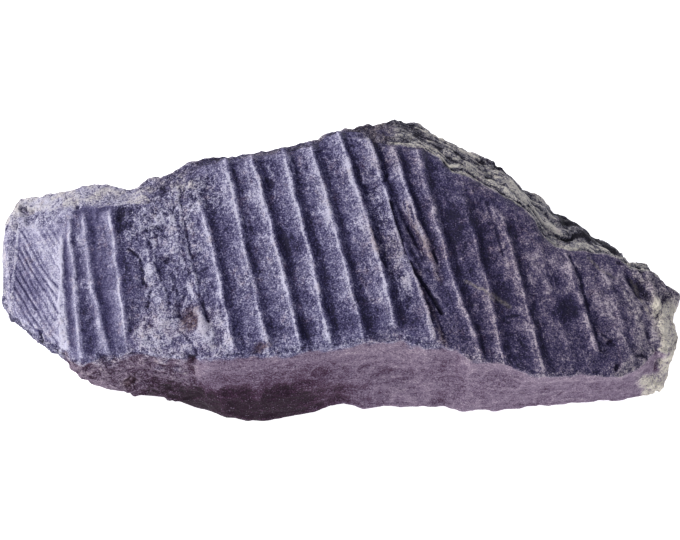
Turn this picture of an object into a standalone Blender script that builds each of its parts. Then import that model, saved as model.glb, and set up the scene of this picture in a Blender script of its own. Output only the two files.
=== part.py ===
"""Fossil tree bark: one broken slab of shale that carries the ribbed face of a fossil stem.

The slab lies on its back. X runs along its length, Y across it, and Z up from the surface that
it rests on, through the ribbed face. The origin is under the middle of its box. Everything below
is in millimetres until the mesh is made.

The slab is lofted from sections that lean as the ribs do, so that its mesh lines run along the
rib crests. A guide is such a line, seen from above: the left edge of the face, then each rib
crest from left to right, then the right edge of the face. A phase of 3.25 is a quarter of the
way from guide 3 to guide 4.
"""

import math

import bmesh
import bpy
import numpy as np
from mathutils import Vector, noise

MM = 0.001

# The ribbed face is part of a wide stem, so it falls away towards both ends of the slab. A
# flatter break slopes down to the left end.
FACE_HEIGHT = 25.0
FACE_MIDDLE_X = -2.0
FACE_HALF_LENGTH = 66.0
FACE_END_DROP = 9.5
LEFT_BREAK_FROM_X = -59.0
LEFT_BREAK_SLOPE = 0.21
EDGE_ROUNDING = 1.0
EDGE_ROUNDING_REACH = 1.5

# A guide crosses the lines y = GUIDE_Y, y = 0 and y = -GUIDE_Y at the first three numbers, its
# crest stands the fourth number over the flutes, and it runs from the fifth y to the sixth.
GUIDE_Y = 20.0
GUIDES = np.array((
    (-68.5, -70.5, -69.5, 0.0, -40.0, 40.0),
    (-60.9, -58.9, -57.0, 0.5, -40.0, 7.0),
    (-59.6, -56.8, -54.0, 0.9, -40.0, 8.0),
    (-55.6, -53.3, -48.3, 0.9, -40.0, 10.0),
    (-50.5, -47.2, -44.3, 1.4, -19.0, 10.0),
    (-44.0, -40.0, -34.5, 0.5, -12.0, 4.0),
    (-37.0, -33.0, -27.0, 0.8, -20.0, 10.5),
    (-32.0, -26.6, -22.5, 1.4, -40.0, 12.5),
    (-24.2, -19.7, -15.2, 1.2, -40.0, 40.0),
    (-18.5, -13.1, -8.3, 1.6, -40.0, 40.0),
    (-11.4, -6.6, -1.8, 1.5, -40.0, 40.0),
    (-5.3, 0.3, 5.0, 1.6, -40.0, 40.0),
    (1.7, 7.5, 12.4, 1.8, -17.5, 40.0),
    (7.6, 13.7, 20.5, 1.5, -40.0, 40.0),
    (12.5, 18.3, 24.5, 1.2, -5.0, 40.0),
    (17.2, 21.9, 28.4, 1.4, -40.0, 40.0),
    (24.3, 28.9, 33.3, 1.0, -40.0, 15.0),
    (31.4, 36.3, 41.0, 1.0, -40.0, 10.0),
    (37.5, 42.4, 47.2, 0.2, -40.0, 8.0),
    (43.5, 47.8, 53.4, 0.9, -22.0, 1.0),
    (49.8, 55.5, 61.0, 0.4, -40.0, 0.0),
    (56.0, 61.5, 66.5, 0.0, -40.0, 40.0),
))  # fmt: skip
CREST_FADE = 3.5
CREST_WANDER = 0.4
CREST_LUMPS = 0.3
FLUTE_DROP_SHARE = 0.3
FLUTE_DROP_POWER = 1.8
FLUTE_RISE_POWER = 2.0
CREST_ROUNDING = 0.08

# Outlines seen from above, as (x, y) or (x, y, z), from left to right.
# The lips bound the ribbed face; the foot and the rim are the slab's outermost front and back.
FRONT_LIP = np.array((
    (-70.5, -9.0), (-64.5, -15.5), (-58.5, -19.5), (-54.0, -22.9), (-50.0, -21.8),
    (-43.5, -20.4), (-37.0, -21.5), (-28.5, -22.5), (-21.5, -22.5), (-14.5, -22.7),
    (-8.5, -21.8), (-2.0, -20.8), (5.0, -19.5), (13.0, -19.5), (17.0, -20.8), (20.5, -20.3),
    (24.0, -21.2), (26.5, -23.0), (33.5, -23.6), (37.0, -25.0), (41.0, -26.0), (45.5, -25.7),
    (50.0, -24.7), (54.5, -25.0), (58.5, -24.9), (62.5, -22.6), (66.5, -17.8),
))  # fmt: skip
FRONT_FOOT = np.array((
    (-70.5, -9.6, 8.5), (-65.0, -15.2, 9.5), (-59.5, -19.0, 10.5), (-55.0, -22.8, 11.0),
    (-50.0, -24.5, 9.0), (-45.5, -25.2, 6.5), (-36.5, -26.3, 4.5), (-29.0, -28.0, 4.0),
    (-24.5, -30.2, 4.0), (-17.0, -30.4, 4.0), (-8.5, -28.6, 3.5), (0.0, -26.4, 3.0),
    (4.5, -27.4, 2.5), (21.5, -26.9, 2.5), (33.0, -28.2, 3.0), (46.0, -27.0, 3.0),
    (60.0, -26.0, 3.0), (69.0, -23.8, 3.5),
))  # fmt: skip
BACK_LIP = np.array((
    (-70.0, 13.0), (-57.0, 13.2), (-48.0, 12.8), (-40.0, 13.8), (-34.0, 15.6), (-30.7, 17.0),
    (-28.5, 18.6), (-24.0, 20.1), (-19.0, 20.6), (-6.5, 21.6), (-1.3, 25.2), (2.0, 25.8),
    (10.5, 24.6), (17.1, 24.0), (20.7, 21.8), (23.2, 18.9), (26.8, 18.1), (31.0, 15.7),
    (35.3, 13.6), (38.5, 11.6), (41.2, 8.8), (42.0, 6.8), (43.7, 4.6), (45.5, 3.1), (48.0, 2.7),
    (56.2, 2.5), (59.5, 1.6), (63.0, -2.0),
))  # fmt: skip
BACK_RIM = np.array((
    (-70.0, 17.0, 11.5), (-65.2, 17.0, 12.5), (-60.7, 17.4, 14.0), (-56.0, 17.9, 15.5),
    (-50.8, 17.8, 16.2), (-45.8, 17.0, 17.0), (-41.5, 18.3, 18.5), (-38.5, 18.6, 19.5),
    (-33.0, 21.3, 20.5), (-29.0, 22.5, 21.0), (-21.5, 23.2, 21.5), (-11.0, 24.6, 22.5),
    (-6.5, 26.0, 22.5), (-3.5, 27.6, 23.0), (7.5, 29.6, 23.0), (11.0, 30.8, 22.5),
    (15.5, 31.4, 19.0), (21.5, 29.0, 17.0), (28.0, 26.2, 15.5), (34.5, 23.4, 14.0),
    (39.0, 19.1, 12.0), (43.0, 17.8, 11.0), (46.8, 14.6, 8.5), (49.9, 14.2, 8.0),
    (51.6, 12.6, 8.0), (53.0, 10.6, 7.5), (57.2, 8.4, 7.5), (60.3, 6.2, 7.5), (61.3, 3.2, 8.5),
    (63.0, 0.4, 10.5), (67.5, -1.2, 10.0),
))  # fmt: skip

# Each broken end, seen from above, stands out to these x at these y, and is cut by these faces:
# each is a point on the face and the way it looks.
LEFT_END = np.array(((-12.0, -70.5), (-5.0, -72.0), (5.0, -73.2), (9.0, -73.2), (17.0, -70.7)))
RIGHT_END = np.array((
    (-24.0, 69.0), (-18.0, 71.3), (-13.6, 72.4), (-9.5, 71.4), (-7.0, 71.4), (-4.6, 72.0),
    (-2.3, 71.0), (1.0, 67.5),
))  # fmt: skip
LEFT_NOSE_HEIGHT = 9.5
RIGHT_NOSE_HEIGHT = 6.5
END_POWER = 2.2
BREAKS = (
    ((-71.0, 2.0, 13.0), (-0.9, -0.1, 0.42)),
    ((-71.5, 16.0, 13.5), (-0.62, 0.6, 0.5)),
    ((-68.0, -11.0, 14.0), (-0.6, -0.55, 0.58)),
    ((69.0, -20.0, 12.0), (0.7, -0.4, 0.6)),
    ((70.5, -12.0, 11.0), (0.8, 0.0, 0.6)),
    ((-20.0, -29.3, 9.0), (-0.03, -0.93, 0.36)),
)

# The underside is flat, but for shallow hollows, and rises under the left end.
UNDERCUT_FROM_X = -42.0
UNDERCUT_RISE = 6.5
BASE_INSET_FRONT = 1.8
BASE_INSET_BACK = 3.2
BASE_WANDER = 1.5
FLAT_BELOW = 0.05

# Ledges of shale layers between the face and the rim: how many, how crisp by x, how uneven.
LEDGES = 4
LEDGE_FLATNESS = 0.86
LEDGE_CRISPNESS = np.array(((-75.0, 0.0), (-10.0, 0.1), (8.0, 0.7), (20.0, 1.0), (75.0, 1.0)))
LEDGE_WANDER = 0.1

# Hollows, as (x, y, half length, half width, turn in degrees, depth).
FACE_HOLLOWS = (
    (-38.5, 3.5, 5.0, 3.0, 70.0, 0.9),
    (-32.0, -11.5, 5.5, 3.2, 80.0, 1.1),
    (-66.5, 12.0, 3.0, 2.0, 60.0, 1.3),
    (15.5, 4.0, 9.0, 1.4, 118.0, 1.3),
    (8.0, 17.8, 2.5, 2.0, 0.0, 0.8),
    (62.5, -4.5, 4.5, 1.6, 118.0, 1.5),
)
BASE_HOLLOWS = (
    (-22.0, 4.0, 17.0, 7.0, 25.0, 1.2),
    (38.0, -6.0, 13.0, 8.0, -20.0, 1.0),
    (12.0, 15.0, 8.0, 5.0, 10.0, 0.8),
)

# Roughness: the stone is bent by waves of these sizes and heights. The ribbed face takes a small
# share of it, and the flat base none.
WAVES = ((19.0, 0.7, False), (8.0, 0.9, False), (4.2, 0.6, True))
FACE_SHARE = 0.22
FACE_SKIN = 5.0
ROUGH_ABOVE = 4.0
SEED = 2

# Mesh lines: where they lie between two guides, and how many go round each stretch of a section.
FLUTE_LINES = (0.0, 0.14, 0.34, 0.72)
CAP_LINES = 6
BASE_LINES = 6
FRONT_LINES = 7
FACE_LINES = 23
BACK_LINES = 5
BAND_LINES = 2 * LEDGES
RING_POINTS = BASE_LINES + FRONT_LINES + FACE_LINES + BAND_LINES + BACK_LINES

STONE_COLOUR = (0.105, 0.098, 0.150, 1.0)
STONE_ROUGHNESS = 0.62


def smooth_step(share):
    share = np.clip(share, 0.0, 1.0)
    return share * share * (3.0 - 2.0 * share)


def wander(*place):
    """Smooth noise between -1 and 1 at each of these places."""
    parts = np.broadcast_arrays(*place)
    flat = [noise.noise(Vector(point)) for point in zip(*(part.flat for part in parts))]
    return np.array(flat).reshape(parts[0].shape)


def guide_x(phase, y):
    """x at y on the leaning line at this phase: each guide is a parabola through its three x."""
    first = min(int(phase), len(GUIDES) - 2)
    share = phase - first

    def parabola(guide):
        slope = (guide[0] - guide[2]) / (2.0 * GUIDE_Y)
        bow = (guide[0] + guide[2] - 2.0 * guide[1]) / (2.0 * GUIDE_Y**2)
        return guide[1] + slope * y + bow * y * y

    return (1.0 - share) * parabola(GUIDES[first]) + share * parabola(GUIDES[first + 1])


def meet(phase, outline):
    """Where the line at this phase crosses an outline: its y, and its z if the outline has one."""
    y = 0.0
    for _ in range(30):
        x = guide_x(phase, y)
        y = np.interp(x, outline[:, 0], outline[:, 1])
    z = np.interp(x, outline[:, 0], outline[:, 2]) if outline.shape[1] > 2 else 0.0
    return y, z


def face_height(x):
    """Height of the ribbed face, before its ribs are added."""
    share = (x - FACE_MIDDLE_X) / FACE_HALF_LENGTH
    left_break = np.maximum(LEFT_BREAK_FROM_X - x, 0.0) * LEFT_BREAK_SLOPE
    return FACE_HEIGHT - FACE_END_DROP * share * share - left_break


def crest_height(index, y):
    """How high the crest of a guide stands along y, with its lumps and its fading ends."""
    guide = GUIDES[index]
    fade = smooth_step((y - guide[4]) / CREST_FADE) * smooth_step((guide[5] - y) / CREST_FADE)
    return guide[3] * fade * (1.0 + CREST_LUMPS * wander(y / 4.0, 5.0 * index, 0.0))


def rib_profile(phase, tall):
    """The rib's height at this phase, from the heights of the crests at its two sides."""
    first = max(math.floor(phase), 0)
    share = phase - first
    if share < FLUTE_DROP_SHARE:
        return tall[first] * (1.0 - share / FLUTE_DROP_SHARE) ** FLUTE_DROP_POWER
    rise = (share - FLUTE_DROP_SHARE) / (1.0 - FLUTE_DROP_SHARE)
    return tall[first + 1] * rise**FLUTE_RISE_POWER


def rib_height(phase, y):
    """The rib's height over y at this phase, with its crest rounded off."""
    near = range(max(int(phase) - 1, 0), min(int(phase) + 3, len(GUIDES)))
    tall = {index: crest_height(index, y) for index in near}
    steps = [phase + CREST_ROUNDING * step for step in (-1.0, -0.5, 0.0, 0.5, 1.0)]
    steps = [step for step in steps if 0.0 <= step < len(GUIDES) - 1.0] or [phase - 1e-6]
    return sum(rib_profile(step, tall) for step in steps) / len(steps)


def base_height(x):
    share = np.clip((UNDERCUT_FROM_X - x) / (UNDERCUT_FROM_X - GUIDES[0][1]), 0.0, 1.0)
    return UNDERCUT_RISE * share * share


def hollow_depth(hollows, x, y):
    depth = np.zeros_like(x)
    for middle_x, middle_y, half_length, half_width, turn, deepest in hollows:
        cosine, sine = math.cos(math.radians(turn)), math.sin(math.radians(turn))
        along = ((x - middle_x) * cosine + (y - middle_y) * sine) / half_length
        across = ((y - middle_y) * cosine - (x - middle_x) * sine) / half_width
        depth += deepest * smooth_step(1.5 * (1.0 - np.hypot(along, across)))
    return depth


def stretch(start, end, count):
    """count points from start towards end, with end left for the next stretch."""
    share = np.arange(count)[:, None] / count
    return np.array(start) + (np.array(end) - np.array(start)) * share


def ledges(phase, start, end, count):
    """count points from start down to end, by risers and treads where the layers are crisp."""
    share = np.arange(count) / count
    step = np.floor(share * LEDGES + 1e-6)
    within = share * LEDGES - step
    riser = within < 0.5
    half = np.where(riser, within * 2.0, within * 2.0 - 1.0)
    short, long = (1.0 - LEDGE_FLATNESS) * half, LEDGE_FLATNESS * half
    out = (step + np.where(riser, short, 1.0 - LEDGE_FLATNESS + long)) / LEDGES
    down = (step + np.where(riser, long, LEDGE_FLATNESS + short)) / LEDGES
    x = guide_x(phase, start[0])
    crisp = np.interp(x, LEDGE_CRISPNESS[:, 0], LEDGE_CRISPNESS[:, 1])
    uneven = LEDGE_WANDER * wander(x / 5.0, 3.0 * step, 9.0) * np.minimum(share, 1.0 - share) * 4.0
    out = share + crisp * (out - share) + uneven
    down = share + crisp * (down - share)
    return np.array(start) + np.column_stack((out, down)) * (np.array(end) - np.array(start))


def section(phase):
    """One closed ring of (x, y, z), from the back of the base round by the front and the face."""
    foot_y, foot_z = meet(phase, FRONT_FOOT)
    rim_y, rim_z = meet(phase, BACK_RIM)
    front_y, _ = meet(phase, FRONT_LIP)
    back_y, _ = meet(phase, BACK_LIP)
    middle_x = guide_x(phase, 0.0)
    base_front = foot_y + BASE_INSET_FRONT + BASE_WANDER * wander(middle_x / 7.0, 1.0, 2.0)
    base_back = rim_y - BASE_INSET_BACK + BASE_WANDER * wander(middle_x / 7.0, 5.0, 2.0)
    front_z = face_height(guide_x(phase, front_y)) - EDGE_ROUNDING
    back_z = face_height(guide_x(phase, back_y)) - EDGE_ROUNDING

    base = stretch((base_back, 0.0), (base_front, 0.0), BASE_LINES)
    under = stretch((base_front, 0.0), (foot_y, foot_z), 1)
    front = stretch((foot_y, foot_z), (front_y, front_z), FRONT_LINES - 1)
    face = stretch((front_y, 0.0), (back_y, 0.0), FACE_LINES)
    band = ledges(phase, (back_y, back_z), (rim_y, rim_z), BAND_LINES)
    back = stretch((rim_y, rim_z), (base_back, 0.0), BACK_LINES)

    ring = np.vstack((base, under, front, face, band, back))
    y, z = ring[:, 0], ring[:, 1]
    x = guide_x(phase, y)
    z = z + base_height(x) * (1.0 - np.clip(z / foot_z, 0.0, 1.0))
    flat = slice(1, BASE_LINES)
    z[flat] += hollow_depth(BASE_HOLLOWS, x[flat], y[flat])

    on_face = slice(BASE_LINES + FRONT_LINES, BASE_LINES + FRONT_LINES + FACE_LINES)
    to_lip = np.minimum(y[on_face] - front_y, back_y - y[on_face])
    inside = smooth_step(to_lip / (2.0 * EDGE_ROUNDING_REACH))
    x[on_face] += CREST_WANDER * inside * wander(phase / 1.5, y[on_face] / 4.5, 4.0)
    z[on_face] = (
        face_height(x[on_face])
        - EDGE_ROUNDING * np.exp(-to_lip / EDGE_ROUNDING_REACH)
        + rib_height(phase, y[on_face]) * inside
        - hollow_depth(FACE_HOLLOWS, x[on_face], y[on_face]) * inside
    )
    return np.column_stack((x, y, z))


def end_cap(ring, end, nose_height, side):
    """Rings that close a broken end: they sink to the nose's height as they reach its outline."""
    middle_y = (ring[:, 1].min() + ring[:, 1].max()) / 2.0
    rows = []
    for line in range(1, CAP_LINES + 1):
        left = 1.0 - line / CAP_LINES
        y = middle_y + (ring[:, 1] - middle_y) * (1.0 - (1.0 - left) ** 2)
        z = nose_height + (ring[:, 2] - nose_height) * left
        reach = np.interp(y, end[:, 0], end[:, 1]) - ring[:, 0]
        reach = side * np.maximum(side * reach, 0.0)
        x = ring[:, 0] + reach * (1.0 - left**END_POWER) ** (1.0 / END_POWER)
        rows.append(np.column_stack((x, y, z)))
    return rows


def all_rows():
    """Every ring of the slab, from the left end's middle to the right end's."""
    phases = [i + line for i in range(len(GUIDES) - 1) for line in FLUTE_LINES]
    sections = [section(phase) for phase in (*phases, len(GUIDES) - 1.0)]
    left = end_cap(sections[0], LEFT_END, LEFT_NOSE_HEIGHT, -1.0)
    right = end_cap(sections[-1], RIGHT_END, RIGHT_NOSE_HEIGHT, 1.0)
    return np.array((*reversed(left), *sections, *right))


def skin(rows):
    """A closed mesh over the rows: a sphere whose rings are moved onto them, one by one."""
    bm = bmesh.new()
    steps = len(rows) - 1
    bmesh.ops.create_uvsphere(bm, u_segments=RING_POINTS, v_segments=steps, radius=1.0)
    for v in bm.verts:
        row = round(math.acos(max(-1.0, min(1.0, v.co.z))) / math.pi * steps)
        turn = math.atan2(v.co.y, v.co.x) / (2.0 * math.pi) - 0.25
        v.co = rows[row][round(turn * RING_POINTS) % RING_POINTS]
    if bm.calc_volume(signed=True) < 0.0:
        bmesh.ops.reverse_faces(bm, faces=bm.faces)
    return bm


def roughen(bm):
    """Bends the stone by waves, so that its broken faces are uneven."""
    noise.seed_set(SEED)
    for v in bm.verts:
        below_face = face_height(v.co.x) - v.co.z
        on_face = float(smooth_step((FACE_SKIN - below_face) / FACE_SKIN))
        strength = float(smooth_step(v.co.z / ROUGH_ABOVE)) * (1.0 - (1.0 - FACE_SHARE) * on_face)
        bend = Vector()
        for size, height, hard in WAVES:
            bend += height * noise.turbulence_vector(v.co / size, 1, hard)
        v.co += strength * bend


def break_off(bm):
    """Presses whatever stands out of a break onto it."""
    for point, looks in BREAKS:
        plane, way = Vector(point), Vector(looks).normalized()
        for v in bm.verts:
            v.co -= way * max((v.co - plane).dot(way), 0.0)


def lay_flat(bm):
    for v in bm.verts:
        if v.co.z < FLAT_BELOW:
            v.co.z = 0.0


def stone_material():
    material = bpy.data.materials.new("dark_shale")
    material.use_nodes = True
    shader = material.node_tree.nodes["Principled BSDF"]
    shader.inputs["Base Color"].default_value = STONE_COLOUR
    shader.inputs["Roughness"].default_value = STONE_ROUGHNESS
    shader.inputs["Metallic"].default_value = 0.0
    return material


def bark_slab():
    bm = skin(all_rows())
    break_off(bm)
    roughen(bm)
    lay_flat(bm)
    bmesh.ops.triangulate(bm, faces=bm.faces)
    low = [min(v.co[axis] for v in bm.verts) for axis in (0, 1)]
    high = [max(v.co[axis] for v in bm.verts) for axis in (0, 1)]
    middle = Vector(((low[0] + high[0]) / 2.0, (low[1] + high[1]) / 2.0, 0.0))
    for v in bm.verts:
        v.co = (v.co - middle) * MM
    mesh = bpy.data.meshes.new("bark_slab")
    bm.to_mesh(mesh)
    bm.free()
    mesh.materials.append(stone_material())
    return bpy.data.objects.new("bark_slab", mesh)


def main():
    for old in list(bpy.data.objects):
        bpy.data.objects.remove(old)
    collection = bpy.data.collections.new("fossil_tree_bark")
    bpy.context.scene.collection.children.link(collection)
    collection.objects.link(bark_slab())


main()
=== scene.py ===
"""Looks of the fossil tree bark: the slab of shale in full detail, its stone, a pale floor and light.

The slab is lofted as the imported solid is, on much closer mesh lines, with the small relief added.
X runs along its length, Y across it and Z up through the ribbed face. Shapes are in millimetres
until the mesh is made.
"""

import math

import bpy
import numpy as np
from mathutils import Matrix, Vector, noise

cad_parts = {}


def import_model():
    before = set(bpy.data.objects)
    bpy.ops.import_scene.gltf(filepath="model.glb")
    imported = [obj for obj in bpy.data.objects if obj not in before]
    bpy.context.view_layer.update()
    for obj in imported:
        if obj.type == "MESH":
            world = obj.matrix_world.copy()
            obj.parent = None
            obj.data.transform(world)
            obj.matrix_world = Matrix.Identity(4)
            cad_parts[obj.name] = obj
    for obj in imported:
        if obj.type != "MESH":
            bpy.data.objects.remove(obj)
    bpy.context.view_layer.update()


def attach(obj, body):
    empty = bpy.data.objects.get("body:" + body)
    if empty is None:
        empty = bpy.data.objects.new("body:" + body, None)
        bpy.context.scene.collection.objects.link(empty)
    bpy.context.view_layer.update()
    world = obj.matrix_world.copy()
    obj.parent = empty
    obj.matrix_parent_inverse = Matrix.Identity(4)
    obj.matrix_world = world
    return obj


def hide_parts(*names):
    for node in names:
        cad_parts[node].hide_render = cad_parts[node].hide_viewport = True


MM = 0.001

# The slab's shape. The values are the solid's, except that three ribs at the left run on 2.5 to
# 3.5 mm further back, five points of the back rim lie up to 0.8 mm off and the crests are sharper.
# The solid has no ribs over its back edge, no knob and an unbroken corner behind the right end.
FACE_HEIGHT = 25.0
FACE_MIDDLE_X = -2.0
FACE_HALF_LENGTH = 66.0
FACE_END_DROP = 9.5
LEFT_BREAK_FROM_X = -59.0
LEFT_BREAK_SLOPE = 0.21
EDGE_ROUNDING = 1.0
EDGE_ROUNDING_REACH = 1.5
RIB_FADE = 1.2
# Where the ribs run on over the edge to the back rim: x at the two ends, and how softly.
RIBS_OVER = (-34.0, 7.0)
RIBS_OVER_FADE = 5.0
RIBS_OVER_ROUNDING = 0.5
GUIDE_Y = 20.0
# Each crest: x at y = 20, 0 and -20, its height over the flutes, and its first and last y.
GUIDES = np.array((
    (-68.5, -70.5, -69.5, 0.0, -40.0, 40.0),
    (-60.9, -58.9, -57.0, 0.5, -40.0, 7.0),
    (-59.6, -56.8, -54.0, 0.9, -40.0, 11.5),
    (-55.6, -53.3, -48.3, 0.9, -40.0, 12.5),
    (-50.5, -47.2, -44.3, 1.4, -19.0, 12.5),
    (-44.0, -40.0, -34.5, 0.5, -12.0, 4.0),
    (-37.0, -33.0, -27.0, 0.8, -20.0, 10.5),
    (-32.0, -26.6, -22.5, 1.4, -40.0, 12.5),
    (-24.2, -19.7, -15.2, 1.2, -40.0, 40.0),
    (-18.5, -13.1, -8.3, 1.6, -40.0, 40.0),
    (-11.4, -6.6, -1.8, 1.5, -40.0, 40.0),
    (-5.3, 0.3, 5.0, 1.6, -40.0, 40.0),
    (1.7, 7.5, 12.4, 1.8, -17.5, 40.0),
    (7.6, 13.7, 20.5, 1.5, -40.0, 40.0),
    (12.5, 18.3, 24.5, 1.2, -5.0, 40.0),
    (17.2, 21.9, 28.4, 1.4, -40.0, 40.0),
    (24.3, 28.9, 33.3, 1.0, -40.0, 15.0),
    (31.4, 36.3, 41.0, 1.0, -40.0, 10.0),
    (37.5, 42.4, 47.2, 0.2, -40.0, 8.0),
    (43.5, 47.8, 53.4, 0.9, -22.0, 1.0),
    (49.8, 55.5, 61.0, 0.4, -40.0, 0.0),
    (56.0, 61.5, 66.5, 0.0, -40.0, 40.0),
))  # fmt: skip
CREST_FADE = 3.5
CREST_WANDER = 0.4
CREST_LUMPS = 0.3
FLUTE_DROP_SHARE = 0.3
FLUTE_DROP_POWER = 1.8
FLUTE_RISE_POWER = 2.0
CREST_ROUNDING = 0.03
# The face's two edges as (x, y), and the front's foot and the back rim as (x, y, z).
FRONT_LIP = np.array((
    (-70.5, -9.0), (-64.5, -15.5), (-58.5, -19.5), (-54.0, -22.9), (-50.0, -21.8),
    (-43.5, -20.4), (-37.0, -21.5), (-28.5, -22.5), (-21.5, -22.5), (-14.5, -22.7),
    (-8.5, -21.8), (-2.0, -20.8), (5.0, -19.5), (13.0, -19.5), (17.0, -20.8), (20.5, -20.3),
    (24.0, -21.2), (26.5, -23.0), (33.5, -23.6), (37.0, -25.0), (41.0, -26.0), (45.5, -25.7),
    (50.0, -24.7), (54.5, -25.0), (58.5, -24.9), (62.5, -22.6), (66.5, -17.8),
))  # fmt: skip
FRONT_FOOT = np.array((
    (-70.5, -9.6, 8.5), (-65.0, -15.2, 9.5), (-59.5, -19.0, 10.5), (-55.0, -22.8, 11.0),
    (-50.0, -24.5, 9.0), (-45.5, -25.2, 6.5), (-36.5, -26.3, 4.5), (-29.0, -28.0, 4.0),
    (-24.5, -30.2, 4.0), (-17.0, -30.4, 4.0), (-8.5, -28.6, 3.5), (0.0, -26.4, 3.0),
    (4.5, -27.4, 2.5), (21.5, -26.9, 2.5), (33.0, -28.2, 3.0), (46.0, -27.0, 3.0),
    (60.0, -26.0, 3.0), (69.0, -23.8, 3.5),
))  # fmt: skip
BACK_LIP = np.array((
    (-70.0, 13.0), (-57.0, 13.2), (-48.0, 12.8), (-40.0, 13.8), (-34.0, 15.6), (-30.7, 17.0),
    (-28.5, 18.6), (-24.0, 20.1), (-19.0, 20.6), (-6.5, 21.6), (-1.3, 25.2), (2.0, 25.8),
    (10.5, 24.6), (17.1, 24.0), (20.7, 21.8), (23.2, 18.9), (26.8, 18.1), (31.0, 15.7),
    (35.3, 13.6), (38.5, 11.6), (41.2, 8.8), (42.0, 6.8), (43.7, 4.6), (45.5, 3.1), (48.0, 2.7),
    (56.2, 2.5), (59.5, 1.6), (63.0, -2.0),
))  # fmt: skip
BACK_RIM = np.array((
    (-70.0, 17.0, 11.5), (-65.2, 16.2, 12.5), (-60.7, 17.4, 14.0), (-56.0, 17.9, 15.5),
    (-50.8, 17.8, 16.2), (-45.8, 17.0, 17.0), (-41.5, 18.8, 18.5), (-38.5, 18.2, 19.5),
    (-33.0, 21.3, 20.5), (-29.0, 21.8, 21.0), (-21.5, 22.7, 21.5), (-11.0, 24.6, 22.5),
    (-6.5, 26.0, 22.5), (-3.5, 27.6, 23.0), (7.5, 29.6, 23.0), (11.0, 30.8, 22.5),
    (15.5, 31.4, 19.0), (21.5, 29.0, 17.0), (28.0, 26.2, 15.5), (34.5, 23.4, 14.0),
    (39.0, 19.1, 12.0), (43.0, 17.8, 11.0), (46.8, 14.6, 8.5), (49.9, 14.2, 8.0),
    (51.6, 12.6, 8.0), (53.0, 10.6, 7.5), (57.2, 8.4, 7.5), (60.3, 6.2, 7.5), (61.3, 3.2, 8.5),
    (63.0, 0.4, 10.5), (67.5, -1.2, 10.0),
))  # fmt: skip
# How far the two ends reach: x at each y.
LEFT_END = np.array(((-12.0, -70.5), (-5.0, -72.0), (5.0, -73.2), (9.0, -73.2), (17.0, -70.7)))
RIGHT_END = np.array((
    (-24.0, 69.0), (-18.0, 71.3), (-13.6, 72.4), (-9.5, 71.4), (-7.0, 71.4), (-4.6, 72.0),
    (-2.3, 71.0), (1.0, 67.5),
))  # fmt: skip
LEFT_NOSE_HEIGHT = 9.5
RIGHT_NOSE_HEIGHT = 6.5
END_POWER = 2.2
# Flat breaks: a point of each, and the way it looks.
BREAKS = (
    ((-71.0, 2.0, 13.0), (-0.9, -0.1, 0.42)),
    ((-71.5, 16.0, 13.5), (-0.62, 0.6, 0.5)),
    ((-68.0, -11.0, 14.0), (-0.6, -0.55, 0.58)),
    ((69.0, -20.0, 12.0), (0.7, -0.4, 0.6)),
    ((70.5, -12.0, 11.0), (0.8, 0.0, 0.6)),
    ((-20.0, -29.3, 9.0), (-0.03, -0.93, 0.36)),
)
UNDERCUT_FROM_X = -42.0
UNDERCUT_RISE = 6.5
BASE_INSET_FRONT = 1.8
BASE_INSET_BACK = 3.2
BASE_WANDER = 1.5
FLAT_BELOW = 0.05
LEDGES = 4
LEDGE_FLATNESS = 0.86
LEDGE_CRISPNESS = np.array(((-75.0, 0.0), (-10.0, 0.1), (8.0, 0.7), (20.0, 1.0), (75.0, 1.0)))
LEDGE_WANDER = 0.1
# Hollows: (x, y, half length, half width, turn in degrees, depth).
FACE_HOLLOWS = (
    (-38.5, 3.5, 5.0, 3.0, 70.0, 0.9),
    (-32.0, -11.5, 5.5, 3.2, 80.0, 1.1),
    (-66.5, 12.0, 3.0, 2.0, 60.0, 1.3),
    (15.5, 4.0, 9.0, 1.4, 118.0, 1.3),
    (8.0, 17.8, 2.5, 2.0, 0.0, 0.8),
    (62.5, -4.5, 4.5, 1.6, 118.0, 1.5),
)
BASE_HOLLOWS = (
    (-22.0, 4.0, 17.0, 7.0, 25.0, 1.2),
    (38.0, -6.0, 13.0, 8.0, -20.0, 1.0),
    (12.0, 15.0, 8.0, 5.0, 10.0, 0.8),
)
# Waves of the broken sides: (size, height, whether they have sharp creases).
WAVES = ((19.0, 0.7, False), (8.0, 0.9, False), (4.2, 0.6, True))
FACE_SHARE = 0.22
FACE_SKIN = 5.0
ROUGH_ABOVE = 4.0
SEED = 2
# What is broken off the corner behind the right end: the largest y at each x there.
RIGHT_CORNER = np.array((
    (41.0, 60.0), (42.7, 18.4), (44.0, 16.8), (46.0, 14.4), (48.0, 13.0), (50.2, 11.8), (52.0, 10.6),
    (53.4, 9.4), (55.6, 8.4), (58.2, 7.4), (60.2, 5.6), (61.4, 3.0), (62.4, 1.6), (63.6, 2.2), (65.7, 2.2),
    (67.8, -0.6), (68.7, -2.8), (72.0, -4.0),
))  # fmt: skip
CORNER_SHARE = 0.88
# The small knob at the right end: its middle, its reach and how far it stands out.
KNOB = (71.0, -5.6, 8.5)
KNOB_REACH = 3.2
KNOB_PUSH = (1.3, 0.6, 0.3)
# The middle of the slab's box in the values above, which is moved to the origin.
MIDDLE = (-0.607, 0.560)

# Mesh lines: the steps between rows, and the points in each stretch of a row.
ROW_STEP = 0.42
FACET_ROW_STEP = 0.3
CAP_LINES = 22
BASE_LINES = 14
FRONT_LINES = 46
FACE_LINES = 130
BAND_LINES = 42
BACK_LINES = 28
# Where each stretch of a row starts, counted round it from the back of the underside.
FRONT_START = BASE_LINES
FACE_START = FRONT_START + FRONT_LINES
BAND_START = FACE_START + FACE_LINES
BACK_START = BAND_START + BAND_LINES
RING_POINTS = BACK_START + BACK_LINES
# The phases of the rows on the two end caps, where there are no ribs.
BEFORE_RIBS = -1.0
AFTER_RIBS = 99.0
RIB_SPACING = 6.4
MEETING_STEPS = 30


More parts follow.
